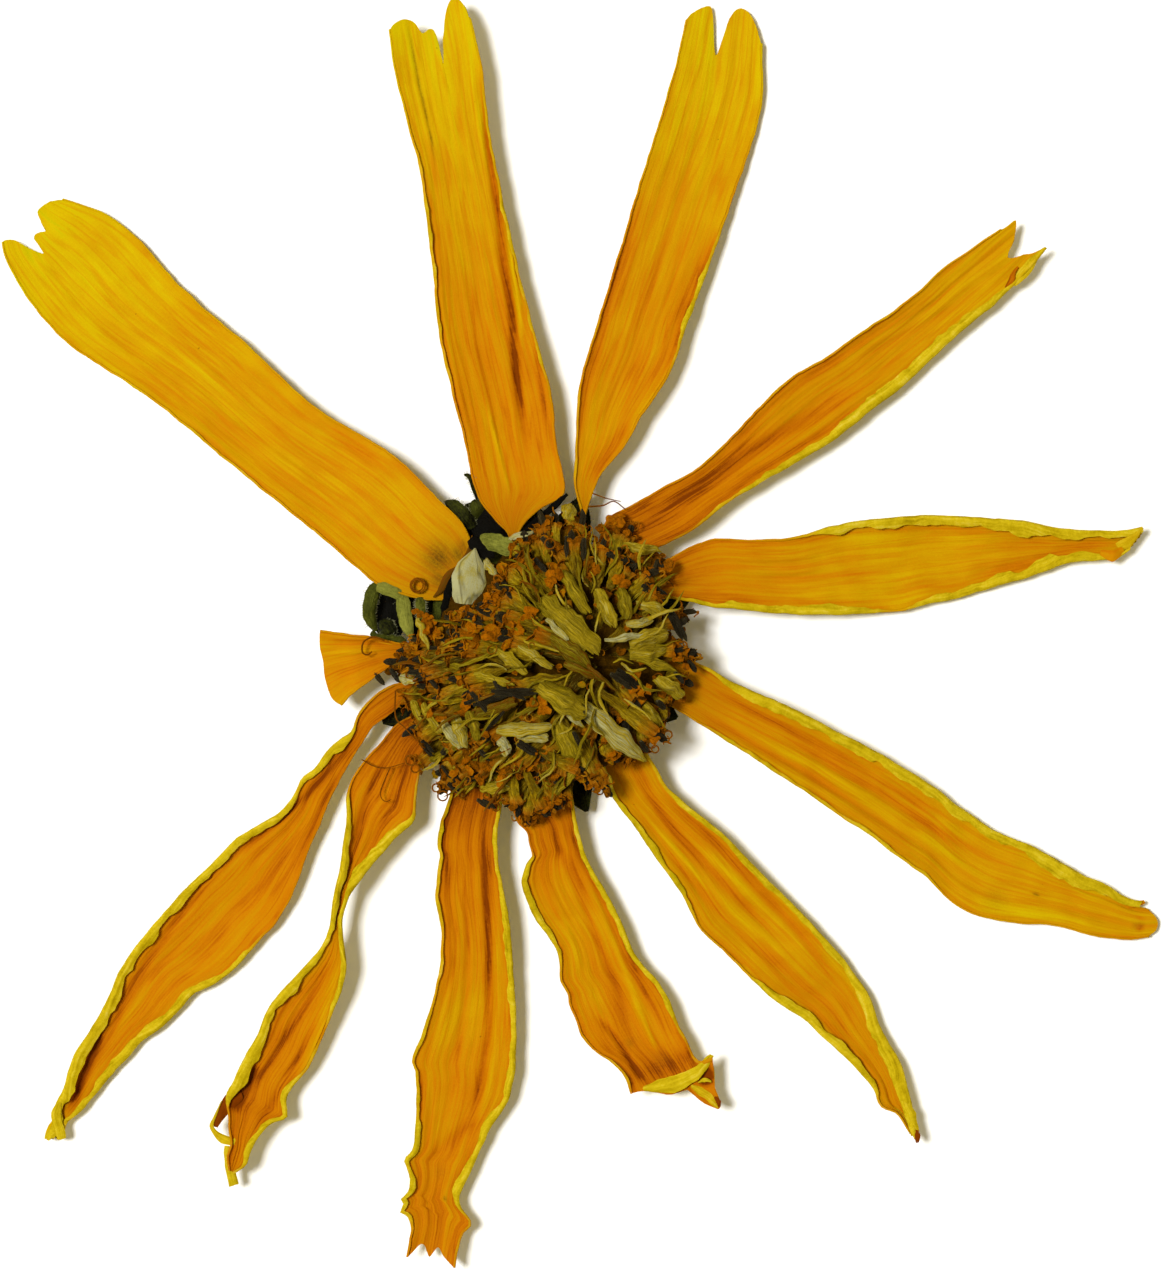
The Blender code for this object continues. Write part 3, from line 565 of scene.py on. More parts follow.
PETALS["ray_09"] = {
    "left": [(-5.2, -8.0), (-4.95, -10.4), (-5.2, -12.0), (-5.2, -14.0), (-4.85, -16.0), (-4.5, -18.0),
             (-4.25, -21.0), (-4.1, -24.0), (-4.1, -26.0), (-4.2, -27.5), (-4.5, -28.7), (-5.0, -29.7),
             (-5.7, -30.8), (-6.3, -32.0), (-6.8, -33.2), (-7.3, -34.2), (-7.6, -35.0), (-7.5, -35.8),
             (-6.9, -36.7), (-7.4, -37.3), (-7.7, -38.3), (-7.9, -39.5)],
    "right": [(-7.6, -8.0), (-8.35, -10.3), (-8.85, -11.8), (-9.0, -13.0), (-8.85, -13.6), (-9.0, -14.8),
              (-9.1, -16.2), (-8.9, -17.5), (-8.75, -18.8), (-8.8, -20.0), (-9.0, -21.5), (-9.4, -23.0),
              (-10.0, -24.8), (-10.6, -26.4), (-10.4, -27.2), (-10.35, -28.5), (-10.4, -30.5), (-10.5, -31.8),
              (-10.7, -32.3), (-11.15, -32.72), (-11.1, -32.85), (-10.9, -33.3), (-10.75, -33.9), (-10.8, -34.6),
              (-11.0, -34.95), (-11.3, -35.15), (-11.3, -35.3), (-11.17, -35.5), (-11.25, -35.7), (-11.42, -35.9),
              (-11.35, -36.0), (-11.0, -36.15), (-10.8, -36.6), (-10.7, -37.2), (-10.8, -37.9), (-11.0, -38.9)],
    "tip": [(-8.6, -38.8), (-8.95, -38.2), (-9.2, -38.4), (-9.55, -38.8), (-9.8, -38.1), (-10.1, -38.0),
            (-10.5, -38.4)],
    "heights": (3.5, 2.4, 1.6, 1.4, 2.0),
    "rolls": ([(9, 0.3), (14, 0.35), (20, 0.4), (26, 0.45), (30, 0.55), (33, 0.45), (35, 0.2), (38, 0.1)],
              [(8.5, 0.1), (11, 0.25), (17, 0.2), (22, 0.15), (25, 0.2), (30, 0.3), (34, 0.35), (37, 0.1)]),
    "folds": [(-0.45, 0.22, [(-6.2, -10.6), (-6.0, -16.0), (-5.8, -20.3), (-5.8, -24.0), (-6.1, -26.5),
                             (-6.7, -29.7), (-7.4, -32.8)]),
              (-0.15, 0.2, [(-8.3, -12.8), (-8.2, -16.5), (-8.0, -20.3), (-8.7, -22.8), (-9.6, -25.9), (-9.8, -29.0)]),
              (-0.12, 0.25, [(-7.2, -14.5), (-7.2, -20.0), (-7.6, -25.9), (-8.3, -30.3)]),
              (0.15, 0.25, [(-5.5, -14.0), (-5.2, -20.0), (-5.3, -26.0), (-6.4, -30.6)]),
              (-0.2, 0.35, [(-6.2, -30.0), (-8.2, -31.6), (-9.6, -33.0)])],
    "stains": [(-8.55, -35.15, 0.1, 0.9), (-8.9, -33.6, 0.4, 0.15)],
    "warmth": (1.0, 0.44, 0.67)}
PETALS["ray_10"] = {
    "left": [(-8.4, -5.6), (-9.9, -8.0), (-10.3, -10.0), (-10.4, -11.5), (-11.0, -12.1), (-11.8, -12.8),
             (-12.4, -13.6), (-13.1, -14.4), (-13.8, -15.3), (-14.5, -16.3), (-14.9, -17.5), (-14.9, -18.7),
             (-14.75, -19.7), (-14.65, -20.8), (-14.9, -22.0), (-15.4, -23.3), (-15.9, -24.5), (-16.4, -25.6),
             (-17.0, -26.9), (-18.1, -28.3), (-18.4, -29.0), (-18.35, -30.0), (-18.6, -30.1),
             (-19.3, -30.35), (-20.1, -31.2), (-20.6, -32.2), (-20.85, -32.9), (-21.5, -33.3)],
    "right": [(-9.8, -4.6), (-11.4, -5.4), (-12.5, -6.6), (-13.6, -7.8), (-14.4, -9.1), (-14.65, -10.0),
              (-14.6, -11.0), (-14.7, -12.2), (-14.85, -13.3), (-15.0, -14.5), (-15.3, -15.8), (-15.5, -17.0),
              (-15.65, -18.0), (-16.1, -19.2), (-16.9, -20.2), (-17.8, -21.2), (-18.8, -22.2), (-19.6, -23.3),
              (-20.1, -24.6), (-20.6, -25.5), (-21.2, -26.5), (-21.7, -27.7), (-22.2, -28.7), (-22.0, -29.8),
              (-22.0, -30.8), (-21.9, -31.6), (-22.1, -32.4), (-22.0, -33.2)],
    "tip": [(-21.75, -33.4)],
    "heights": (3.5, 2.6, 3.0, 1.8, 2.6),
    "rolls": ([(9, 0), (12, 0.2), (14, 0.45), (16, 0.75), (18, 0.6), (20, 0.36), (22, 0.4), (24, 0.3), (27, 0.1),
               (30, 0.25), (33, 0.4), (37, 0.3)],
              [(9, 0.05), (14, 0.1), (15.5, 0.3), (17, 0.65), (18.5, 0.75), (20, 0.5), (21.1, 0.37), (22.5, 0.35),
               (24, 0.5), (27, 0.65), (31, 0.7), (33.2, 0.65), (34, 0.12), (37, 0.1)]),
    "folds": [(-0.2, 0.3, [(-10.6, -6.9), (-11.4, -9.7), (-12.6, -12.2), (-13.6, -14.0)]),
              (-0.3, 0.25, [(-12.5, -8.0), (-13.6, -11.0), (-14.2, -13.4), (-14.6, -15.4)]),
              (-0.25, 0.25, [(-15.4, -19.2), (-16.3, -21.5), (-17.8, -24.0), (-19.4, -26.5), (-20.6, -28.6)]),
              (0.2, 0.25, [(-15.0, -20.2), (-16.0, -23.6), (-17.3, -27.0), (-18.9, -30.0)]),
              (-0.2, 0.25, [(-16.2, -23.0), (-17.8, -26.6), (-19.8, -30.0), (-21.0, -32.2)]),
              (-0.6, 0.5, [(-20.2, -26.6), (-21.4, -28.6), (-21.8, -29.8)])],
    "warmth": (0.88, 0.49, 0.79)}
PETALS["ray_11"] = {
    "left": [(-10.5, -3.6), (-11.7, -4.8), (-13.0, -5.7), (-13.8, -6.9), (-14.5, -8.0), (-15.2, -9.3),
             (-15.8, -10.5), (-16.4, -12.0), (-17.0, -13.3), (-17.6, -15.0), (-18.1, -16.2), (-18.6, -17.2),
             (-19.3, -18.2), (-20.0, -18.9), (-21.0, -20.1), (-22.0, -21.1), (-23.0, -21.8), (-24.2, -22.4),
             (-25.0, -23.2), (-26.0, -24.3), (-27.5, -25.4), (-28.5, -26.5), (-29.5, -27.6), (-30.5, -28.8),
             (-31.5, -29.9), (-32.2, -30.5), (-32.4, -31.2), (-32.7, -31.55)],
    "right": [(-11.3, -2.9), (-12.3, -3.3), (-13.0, -3.8), (-13.6, -4.4), (-14.0, -5.1), (-14.3, -5.9),
              (-15.0, -6.4), (-15.9, -7.2), (-16.6, -8.2), (-17.4, -8.8), (-17.8, -9.6), (-18.2, -10.3),
              (-19.0, -11.1), (-20.0, -11.7), (-21.5, -12.6), (-22.5, -13.6), (-23.5, -14.6), (-24.5, -15.5),
              (-25.5, -16.6), (-26.4, -17.6), (-27.2, -18.5), (-28.2, -19.8), (-29.0, -21.0), (-29.6, -22.5),
              (-30.3, -23.8), (-31.0, -25.0), (-31.7, -26.0), (-32.1, -27.0), (-32.4, -28.2), (-32.9, -29.2),
              (-33.0, -30.3), (-33.5, -31.1)],
    "tip": [(-33.1, -31.4), (-33.4, -31.6)],
    "heights": (3.5, 1.6, 0.6, 0.5, 1.0),
    "rolls": ([(9, 0), (20, 0), (24, 0.1), (27, 0.3), (30, 0.5), (33, 0.6), (36, 0.6), (39, 0.45), (42, 0.2)],
              [(9, 0.05), (12.5, 0.2), (14, 0.6), (17, 0.3), (20, 0.45), (25, 0.5), (30, 0.55), (35, 0.65),
               (39, 0.8), (42, 0.6)]),
    "folds": [(-0.3, 0.22, [(-13.4, -5.4), (-15.2, -7.8), (-17.0, -9.8), (-19.8, -12.2), (-22.4, -14.4)]),
              (-0.35, 0.25, [(-23.4, -15.6), (-26.0, -18.6), (-28.0, -21.6), (-29.6, -25.0), (-31.0, -27.6)]),
              (-0.12, 0.3, [(-16.6, -11.6), (-19.0, -14.6), (-22.2, -18.4), (-26.0, -22.4)]),
              (0.15, 0.35, [(-17.6, -11.4), (-21.0, -15.2), (-24.6, -19.4), (-28.0, -23.6)]),
              (-0.2, 0.2, [(-15.2, -8.4), (-16.8, -12.0), (-18.2, -15.4)]),
              (-0.7, 0.3, [(-29.9, -24.6), (-30.8, -26.5), (-31.7, -28.8), (-32.1, -30.0)])],
    "warmth": (0.78, 0.61, 0.54)}
PETALS["ray_12"] = {
    "left": [(-10.4, -1.5), (-11.7, -1.9), (-12.4, -2.3), (-13.4, -3.1), (-14.1, -3.6), (-14.7, -4.35)],
    "right": [(-10.4, -0.5), (-11.8, -0.3), (-13.4, 0.05), (-14.6, 0.2), (-16.0, 0.45)],
    "tip": [(-15.1, -4.25), (-15.6, -3.8), (-16.0, -2.6), (-16.1, -1.6), (-16.3, -0.7), (-16.25, 0.35)],
    "heights": (3.5, 3.4, 3.2, 3.1, 3.0),
    "rolls": ([(9, 0), (15, 0.05)], [(9, 0), (15, 0.05)]),
    "folds": [(0.2, 0.16, [(-16.0, -1.2), (-13.9, -1.0), (-11.8, -0.9)]),
              (-0.15, 0.2, [(-15.8, -0.5), (-13.9, -0.4), (-11.8, -0.6)]),
              (-0.12, 0.25, [(-15.6, -2.6), (-13.9, -2.0), (-12.0, -1.5)])],
    "warmth": (0.68, 0.64, 0.5)}
for name, petal in PETALS.items():
    print(name, len(petal["left"]) + len(petal["right"]) + len(petal["tip"]), "points in its outline")

# %% [markdown]
# Next is the section of a petal, cut across. Its face is a shallow trough with fine pleats, and each
# margin bends up and over in an arc, ending in a flat flap. A margin with no flap keeps only the first
# quarter of that arc, so one formula covers a plain edge and a wide roll, and the edge can change
# smoothly from one to the other along the petal.

# %% Section of a petal
SHEET = 0.12
EDGE_SHEET = 0.05
ROLL_POINTS = 9
SMALLEST_BEND = 0.05
LARGEST_BEND = 0.22
BEND_A_WIDTH = 0.26
FLAP_SAG = 0.12


def margin(width, room):
    """Offsets inward from the outline, lifts, and paths from the flat, for points from the free edge inward."""
    bend = max(0.02, min(SMALLEST_BEND + BEND_A_WIDTH * width, LARGEST_BEND, room - SHEET))
    middle = bend + SHEET
    turned = min(1.0, width / middle)
    flap = max(0.0, width - middle)
    first = math.pi * (1.0 - 0.5 * turned)
    arc = bend * (1.5 * math.pi - first)
    offsets, lifts, paths = [], [], []
    for path in np.linspace(0.0, flap + arc, ROLL_POINTS):
        if path < flap:
            offsets.append(width - path)
            lifts.append(2 * bend - FLAP_SAG * (flap - path))
        else:
            angle = first + (path - flap) / bend
            offsets.append(middle + bend * math.cos(angle))
            lifts.append(bend + bend * math.sin(angle))
        paths.append(flap + arc - path)
    return np.array(offsets), np.array(lifts), np.array(paths)


print("a margin that shows 0.6 mm rises", round(margin(0.6, 2.0)[1].max(), 2), "mm")

# %% [markdown]
# Now the petal as a whole. Rows of points run across it from foot to tip. The last few millimetres are pulled out to
# the lobes and in to the notches. Folds and veins raise or sink the face, and what they do is also kept as an
# attribute, so that the colour can follow the form with painted shade in the valleys and a painted highlight on the
# ridges. The lower grid is the upper one moved along its normals by the thickness of the sheet. Where a margin has
# turned over, the lower grid is what one sees, and it says so with the attribute named back. Dry margins crinkle, so
# noise moves the outline a little and makes the turned flap wider and narrower.

# %% Shape of a petal
PETAL_ROWS = 116
FACE_POINTS = 36
CLAW_RADIUS = 6.5
CLAW_HALF_WIDTH = 0.5
TROUGH = 0.4
TIP_ZONE = 8.0
FULL_WIDTH = 5.0
FLAT_BASE_SHARE = 0.3
FOLD_RELIEF = 0.45
VEIN_RELIEF = 0.10
WAVE_DEPTH = 0.22
CRINKLE = 0.06
FLAP_CHANGE = 0.5
EDGE_PALE = 0.12
VEIN_SPREAD = 5.0
# Strength of the dark line beside each turned margin: painted shade where the roll shades the face, and partly
# browning.
EDGE_SHADE_AND_BROWNING = 0.16


def claw_ends(petal):
    """Two points of the narrow foot by which a petal is held under the disc."""
    middle = (np.array(petal["left"][0]) + np.array(petal["right"][0])) / 2
    outward = (middle - DISC_MIDDLE) / np.linalg.norm(middle - DISC_MIDDLE)
    end = DISC_MIDDLE + outward * CLAW_RADIUS
    side = np.array([-outward[1], outward[0]]) * CLAW_HALF_WIDTH
    return end + side, end - side


def fold_field(plan, folds):
    """Height of the folds at points seen from above. The finish also reads it as painted shade in valleys and a
    painted highlight on ridges, and for scars as a stain.
    """
    height = np.zeros(plan.shape[:-1])
    for depth, half_width, line in folds:
        chain = read_along(smooth_chain(line), np.linspace(0, 1, 120))
        gaps = np.linalg.norm(plan[..., None, :] - chain, axis=-1)
        nearest = gaps.argmin(axis=-1)
        share = nearest / (len(chain) - 1)
        ends = np.clip(np.minimum(share, 1 - share) / 0.2, 0.0, 1.0)
        height += depth * ends * np.exp(-((gaps.min(axis=-1) / half_width) ** 2))
    return height


def lengthwise(across, along, scales, seed):
    """Smooth random numbers over a petal, stretched along it by unlike scales across and along."""
    return ripple(np.stack([across * scales[0], along * scales[1], across * 0], axis=-1), 1.0, seed)


def petal_grids(petal, seed):
    """Upper and lower grid of a petal, with the numbers its finish needs."""
    claw_left, claw_right = claw_ends(petal)
    places = np.linspace(0.0, 1.0, PETAL_ROWS)
    left = read_along(smooth_chain([claw_left, *petal["left"]]), places)
    right = read_along(smooth_chain([claw_right, *petal["right"]]), places)
    heights = read_along(smooth_chain(list(enumerate(petal["heights"]))), places)[:, 1]
    middles = (left + right) / 2
    along = np.concatenate([[0.0], np.cumsum(np.linalg.norm(np.diff(middles, axis=0), axis=1))])
    inward = (right - left) / np.linalg.norm(right - left, axis=1, keepdims=True)
    quiet = np.clip((1.0 - places) / 0.04, 0.0, 1.0)
    calm_left = left.copy()
    calm_run = right - left
    for rail, way, start in ((left, 1.0, 3.0), (right, -1.0, 9.0)):
        shake = lengthwise(0 * along + start, along, (1.0, 0.9), seed)
        shake = shake + 0.5 * lengthwise(0 * along + start, along, (1.0, 2.3), seed)
        rail += inward * (way * CRINKLE * quiet * shake)[:, None]
    tip_line = right[-1] - left[-1]
    tip = smooth_chain([left[-1], *petal["tip"], right[-1]], 3)
    tip_shares = np.maximum.accumulate(np.clip((tip - left[-1]) @ tip_line / (tip_line @ tip_line), 0.0, 1.0))
    tip_shares += np.arange(len(tip)) * 1e-4
    tip_shares = (tip_shares - tip_shares[0]) / (tip_shares[-1] - tip_shares[0])
    face_shares = np.union1d(np.linspace(0.0, 1.0, FACE_POINTS), tip_shares)[1:-1]
    zone = min(0.6, petal.get("tip_zone", TIP_ZONE) / along[-1])
    columns = 2 * ROLL_POINTS + len(face_shares)
    grid = np.zeros((PETAL_ROWS, columns, 3))
    unpulled = np.zeros((PETAL_ROWS, columns, 3))
    across, lengths, back = np.zeros((3, PETAL_ROWS, columns))
    outward = (middles[-1] - middles[-12]) / np.linalg.norm(middles[-1] - middles[-12])
    edge_shade_and_browning = np.zeros((PETAL_ROWS, columns))
    for i, (near, far) in enumerate(zip(left, right)):
        width = np.linalg.norm(far - near)
        flaps = []
        for side, roll, start in ((near, petal["rolls"][0], 20.0), (far, petal["rolls"][1], 40.0)):
            shown = np.interp(np.linalg.norm(side - DISC_MIDDLE), *zip(*roll))
            spot = np.array([along[i] * 0.7, start, seed])
            change = noise.noise(Vector(spot)) + 0.5 * noise.noise(Vector(spot * 2.7))
            flaps.append(shown * max(0.1, 1.0 + FLAP_CHANGE * change))
        flaps = np.array(flaps) * min(1.0, 0.94 * width / max(sum(flaps), 1e-6))
        room = width / 2 - 0.03
        l_off, l_lift, l_path = margin(flaps[0], room)
        r_off, r_lift, r_path = margin(flaps[1], room)
        face = l_off[-1] + face_shares * (width - l_off[-1] - r_off[-1])
        offset = np.concatenate([l_off, face, (width - r_off)[::-1]])
        share = offset / width
        plain = near + share[:, None] * (far - near) - calm_left[i]
        vein_share = plain @ calm_run[i] / (calm_run[i] @ calm_run[i])
        across[i] = VEIN_SPREAD * vein_share
        across[i, :ROLL_POINTS] = across[i, ROLL_POINTS] - l_path
        across[i, -ROLL_POINTS:] = across[i, -ROLL_POINTS - 1] + r_path[::-1]
        grown = min(1.0, width / FULL_WIDTH) * min(1.0, places[i] / FLAT_BASE_SHARE)
        lift = np.concatenate([l_lift, np.zeros(len(face)), r_lift[::-1]]) + TROUGH * grown * (2 * share - 1) ** 2
        pull = max(0.0, (places[i] - 1.0 + zone) / zone) ** 1.3
        ends = np.stack([np.interp(share, tip_shares, tip[:, axis]) for axis in range(2)], axis=1)
        push = pull * (ends - left[-1] - share[:, None] * tip_line)
        lengths[i] = along[i] + push @ outward
        unpulled[i, :, :2] = near + share[:, None] * (far - near)
        grid[i, :, :2] = unpulled[i, :, :2] + push
        grid[i, :, 2] = np.interp(lengths[i], along, heights) + lift
        turned_over = np.clip(EDGE_PALE + (flaps - 0.1) / 0.2, EDGE_PALE, 1.0)
        back[i] = 1.0
        back[i, :ROLL_POINTS], back[i, -ROLL_POINTS:] = turned_over
        # Columns next to each turned margin are marked for a dark line of painted shade, partly browning too.
        edge_shade_and_browning[i, ROLL_POINTS - 2:ROLL_POINTS + 1] = turned_over[0]
        edge_shade_and_browning[i, -ROLL_POINTS - 1:-ROLL_POINTS + 2] = turned_over[1]
    on_face = np.zeros(columns)
    on_face[ROLL_POINTS - 1:columns - ROLL_POINTS + 1] = 1.0
    folds = fold_field(grid[..., :2], petal["folds"]) * on_face
    veins = lengthwise(across, lengths, (1.5, 0.07), seed) + 0.6 * lengthwise(across, lengths, (3.4, 0.16), seed + 3)
    wave = lengthwise(across, lengths, (0.25, 0.28), seed + 7) + 0.4 * lengthwise(across, lengths, (0.6, 0.9), seed)
    settled = np.clip((places - 0.12) / 0.2, 0.0, 1.0)[:, None]
    grid[..., 2] += FOLD_RELIEF * folds + settled * (VEIN_RELIEF * veins * on_face + WAVE_DEPTH * wave)
    grid[..., 2] = np.maximum(grid[..., 2], SHEET + 0.03)
    thickness = np.full(columns, SHEET)
    thickness[:4] = np.linspace(EDGE_SHEET, SHEET, 4)
    thickness[-4:] = thickness[3::-1]
    unpulled[..., 2] = grid[..., 2]
    lower = grid - facing(unpulled) * thickness[None, :, None]
    stain = np.zeros(grid.shape[:2])
    for x, y, radius, strength in petal.get("stains", []):
        gap = np.linalg.norm(grid[..., :2] - (x, y), axis=-1)
        stain = np.maximum(stain, strength * np.exp(-((gap / radius) ** 2)))
    stain = np.maximum(stain, fold_field(grid[..., :2], petal.get("scars", [])) * on_face)
    # The fact named fold is painted shade and highlight: valleys of folds and veins darken, ridges lighten, and a line
    # beside each turned margin darkens, partly as browning.
    facts = {"across": across, "along": lengths, "seed": seed, "back": (0.0, back), "stain": stain,
             "warmth": np.interp(places, (0.0, 0.5, 1.0), petal["warmth"])[:, None],
             "fold": folds + 0.12 * veins * on_face - EDGE_SHADE_AND_BROWNING * edge_shade_and_browning}
    return grid, lower, facts


print("rows of a petal:", PETAL_ROWS)

# %% [markdown]
# The face of a petal is yellow at the tip and orange towards the disc, with fine streaks along it where the veins run.
# Painted shade darkens every valley of the folds and veins, and a painted highlight lightens the ridges. Stretched
# noise makes such streaks: it is read with the distance across the petal at full scale and the distance along it at a
# small one. The same streaks drive a slight bump, so light catches them. The back is paler and greener, and mottled
# with fine down. Both are one material, and the attribute named back chooses between them, so the change falls on the
# fold and not on a seam of the mesh. Dried petals hardly shine, and a strong gloss would whiten the yellow.

# %% Finish of the petals
PETAL_GLOSS = 0.02


def petal_finish():
    material, tree, shader = new_finish("petal")
    across, along, seed = fact(tree, "across"), fact(tree, "along"), fact(tree, "seed")
    fine = grain(tree, place(tree, across, maths(tree, "MULTIPLY", along, 0.05), seed), 6.0, 5.0, 0.62)
    broad = grain(tree, place(tree, across, maths(tree, "MULTIPLY", along, 0.14), seed), 1.2, 2.0)
    cloud = grain(tree, place(tree, across, along, seed), 0.35, 3.0)
    dust = grain(tree, place(tree, across, along, seed), 8.0, 4.0, 0.65)
    vein = hairlines(tree, place(tree, across, maths(tree, "MULTIPLY", along, 0.04), seed), 2.2, 16.0)
    tone = fact(tree, "warmth")
    for part, share in ((fine, 0.42), (broad, 0.33), (cloud, 0.26), (vein, 0.14), (dust, 0.19)):
        tone = maths(tree, "ADD", tone, maths(tree, "MULTIPLY", part, share))
    # Painted shade and highlight: the fold fact darkens the valleys and the line beside each turned margin, and
    # lightens the ridges.
    tone = maths(tree, "SUBTRACT", tone, maths(tree, "MULTIPLY", fact(tree, "fold"), 0.78), True)
    face = ramp(tree, tone, [
        (0.0, paint(200, 187, 0)), (0.14, paint(216, 186, 0)), (0.33, paint(212, 162, 0)),
        (0.5, paint(208, 143, 0)), (0.68, paint(207, 125, 0)), (0.85, paint(189, 102, 0)), (1.0, paint(132, 60, 0))])
    # Within six millimetres of the foot the face darkens towards orange-brown: partly the petal's own browning, partly
    # painted shade from the disc above it.
    foot = maths(tree, "SUBTRACT", 1.0, maths(tree, "DIVIDE", along, 6.0), True)
    face = blend(tree, maths(tree, "MULTIPLY", foot, 0.6), face, paint(146, 78, 2))
    speck = add(tree, "ShaderNodeTexVoronoi", Vector=place(tree, across, along, seed), Scale=0.4)
    dot = maths(tree, "LESS_THAN", speck.outputs["Distance"], 0.022)
    face = blend(tree, maths(tree, "MULTIPLY", dot, 0.5), face, paint(110, 60, 5))
    blotch = maths(tree, "MULTIPLY", maths(tree, "ADD", fine, dust), 2.0)
    ragged = maths(tree, "ADD", fact(tree, "stain"), maths(tree, "MULTIPLY", fact(tree, "stain"), blotch))
    face = blend(tree, maths(tree, "MULTIPLY", ragged, 1.0, True), face, paint(92, 66, 8))
    down = maths(tree, "ADD", 0.45, maths(tree, "MULTIPLY", fine, 1.0))
    down = maths(tree, "ADD", down, maths(tree, "MULTIPLY", grain(tree, place(tree, across, along, seed), 1.6, 3.0), 0.55))
    down = maths(tree, "ADD", down, maths(tree, "MULTIPLY", dust, 0.5), True)
    pale = ramp(tree, down, [
        (0.0, paint(136, 110, 2)), (0.3, paint(186, 158, 4)), (0.55, paint(216, 188, 22)),
        (0.8, paint(231, 208, 76)), (1.0, paint(242, 228, 140))])
    put(tree, shader.inputs["Base Color"], blend(tree, fact(tree, "back"), face, pale))
    put(tree, shader.inputs["Roughness"], maths(tree, "ADD", 0.7, maths(tree, "MULTIPLY", fine, 0.25)))
    shader.inputs["Specular IOR Level"].default_value = PETAL_GLOSS
    relief(tree, shader, maths(tree, "ADD", fine, maths(tree, "MULTIPLY", dust, 0.5)), 0.045)
    return material


PETAL = petal_finish()
print("petal finish:", PETAL.name)

# %% [markdown]
# A few petal ends are too crumpled for a grid of rows: a curled-up edge that shows its back, a hooked
# strip beside a tear, the brown edge where the first petal broke off. Those are narrow strips of their
# own. Each is a path of places to the right, up the picture and above the card, with its widths.

# %% Strips at the petals' ends
STRIPS = {
    # points, widths, share of back, warmth, stain
    "ray_01": [([(-6.8, 6.2, 3.6), (-6.95, 5.4, 3.8), (-7.5, 4.4, 3.85), (-8.3, 3.7, 3.85), (-8.8, 2.8, 3.8),
                 (-9.2, 2.3, 3.7)], (0.1, 0.35, 0.25, 0.45, 0.35, 0.1), 0.0, 1.2, 0.75)],
    "ray_04": [([(26.9, 21.9, 1.9), (27.6, 22.7, 2.0), (28.3, 23.6, 2.0), (28.95, 24.2, 1.9)],
                (0.3, 0.65, 0.5, 0.1), 0.9, 0.4, 0.0),
               ([(26.5, 21.7, 1.9), (26.8, 22.3, 2.0), (27.2, 23.0, 1.9)], (0.2, 0.35, 0.15), 0.0, 0.8, 0.0)],
    "ray_05": [([(32.4, 5.2, 1.7), (33.1, 5.0, 1.9), (33.8, 5.4, 1.8)], (0.3, 0.7, 0.3), 0.0, 0.52, 0.0),
               ([(33.5, 5.5, 1.7), (34.3, 6.0, 1.9), (35.0, 6.75, 1.8)], (0.6, 0.5, 0.2), 0.8, 0.5, 0.0)],
    "ray_06": [([(34.2, -16.8, 0.9), (34.8, -16.75, 1.0), (35.25, -16.65, 0.9)], (0.5, 0.4, 0.2), 0.0, 0.6, 0.0)],
    "ray_07": [([(20.0, -28.6, 2.0), (20.5, -29.8, 2.2), (20.9, -31.0, 2.1)], (0.5, 0.6, 0.3), 1.0, 0.5, 0.0),
               ([(20.75, -30.8, 2.1), (20.9, -31.2, 2.3), (20.9, -31.65, 2.1)], (0.3, 0.4, 0.15), 0.0, 1.3, 0.0)],
    "ray_08": [([(3.6, -28.3, 2.6), (4.8, -28.05, 2.9), (5.9, -27.8, 3.0), (6.9, -27.3, 3.0), (7.6, -26.7, 2.9),
                 (8.05, -26.05, 2.8)], (0.15, 0.8, 1.1, 0.85, 0.7, 0.25), 1.0, 0.5, 0.0),
               ([(6.8, -28.0, 2.7), (7.6, -28.5, 2.8), (8.2, -29.0, 2.8), (8.55, -29.35, 2.7)],
                (0.2, 0.5, 0.5, 0.25), 0.85, 0.5, 0.0),
               ([(8.3, -28.7, 2.8), (8.5, -29.0, 3.0), (8.55, -29.3, 2.9)], (0.15, 0.3, 0.1), 0.0, 1.2, 0.0),
               ([(7.2, -27.8, 2.8), (7.6, -27.65, 3.0), (8.0, -27.7, 2.9)], (0.1, 0.3, 0.1), 1.0, 0.5, 0.0)],
    "ray_10": [([(-21.2, -28.75, 2.0), (-21.9, -29.1, 2.2), (-22.3, -29.7, 2.2)], (0.4, 1.1, 0.7), 0.0, 1.2, 0.0),
               ([(-22.2, -29.4, 2.2), (-22.6, -30.0, 2.3), (-22.9, -30.6, 2.2)], (0.8, 0.6, 0.42), 0.0, 1.05, 0.0),
               ([(-22.45, -29.0, 2.3), (-22.8, -29.8, 2.4), (-23.05, -30.6, 2.4), (-22.6, -31.2, 2.4),
                 (-22.1, -31.45, 2.4), (-21.6, -31.5, 2.4)], (0.08, 0.12, 0.2, 0.34, 0.55, 0.6), 0.9, 0.5, 0.0),
               ([(-22.1, -31.8, 2.2), (-22.1, -32.6, 2.3), (-21.85, -33.5, 2.3), (-21.7, -34.3, 2.1)],
                (0.3, 0.45, 0.6, 0.65), 1.0, 0.5, 0.0)],
    "ray_11": [([(-33.0, -30.2, 1.2), (-33.25, -30.9, 1.3), (-33.3, -31.55, 1.2)], (0.2, 0.5, 0.65), 0.0, 0.15, 0.0),
               ([(-32.7, -29.2, 1.5), (-32.85, -30.0, 1.7), (-32.65, -30.9, 1.7), (-32.5, -31.5, 1.5)],
                (0.3, 0.6, 0.65, 0.45), 1.0, 0.5, 0.0)],
}
STRIP_POINTS = 24
print("petals with strips:", len(STRIPS))

# %% [markdown]
# The rest of the head is built of three shapes: a blade, a tube and a thread. A blade follows a path and
# may be folded like a boat, a tube is a row of rings, and a thread is a tube too thin to need many
# sides. A path needs two directions across it at every point. They are carried along from one point to
# the next, because directions worked out afresh at each point could flip and twist the tube.

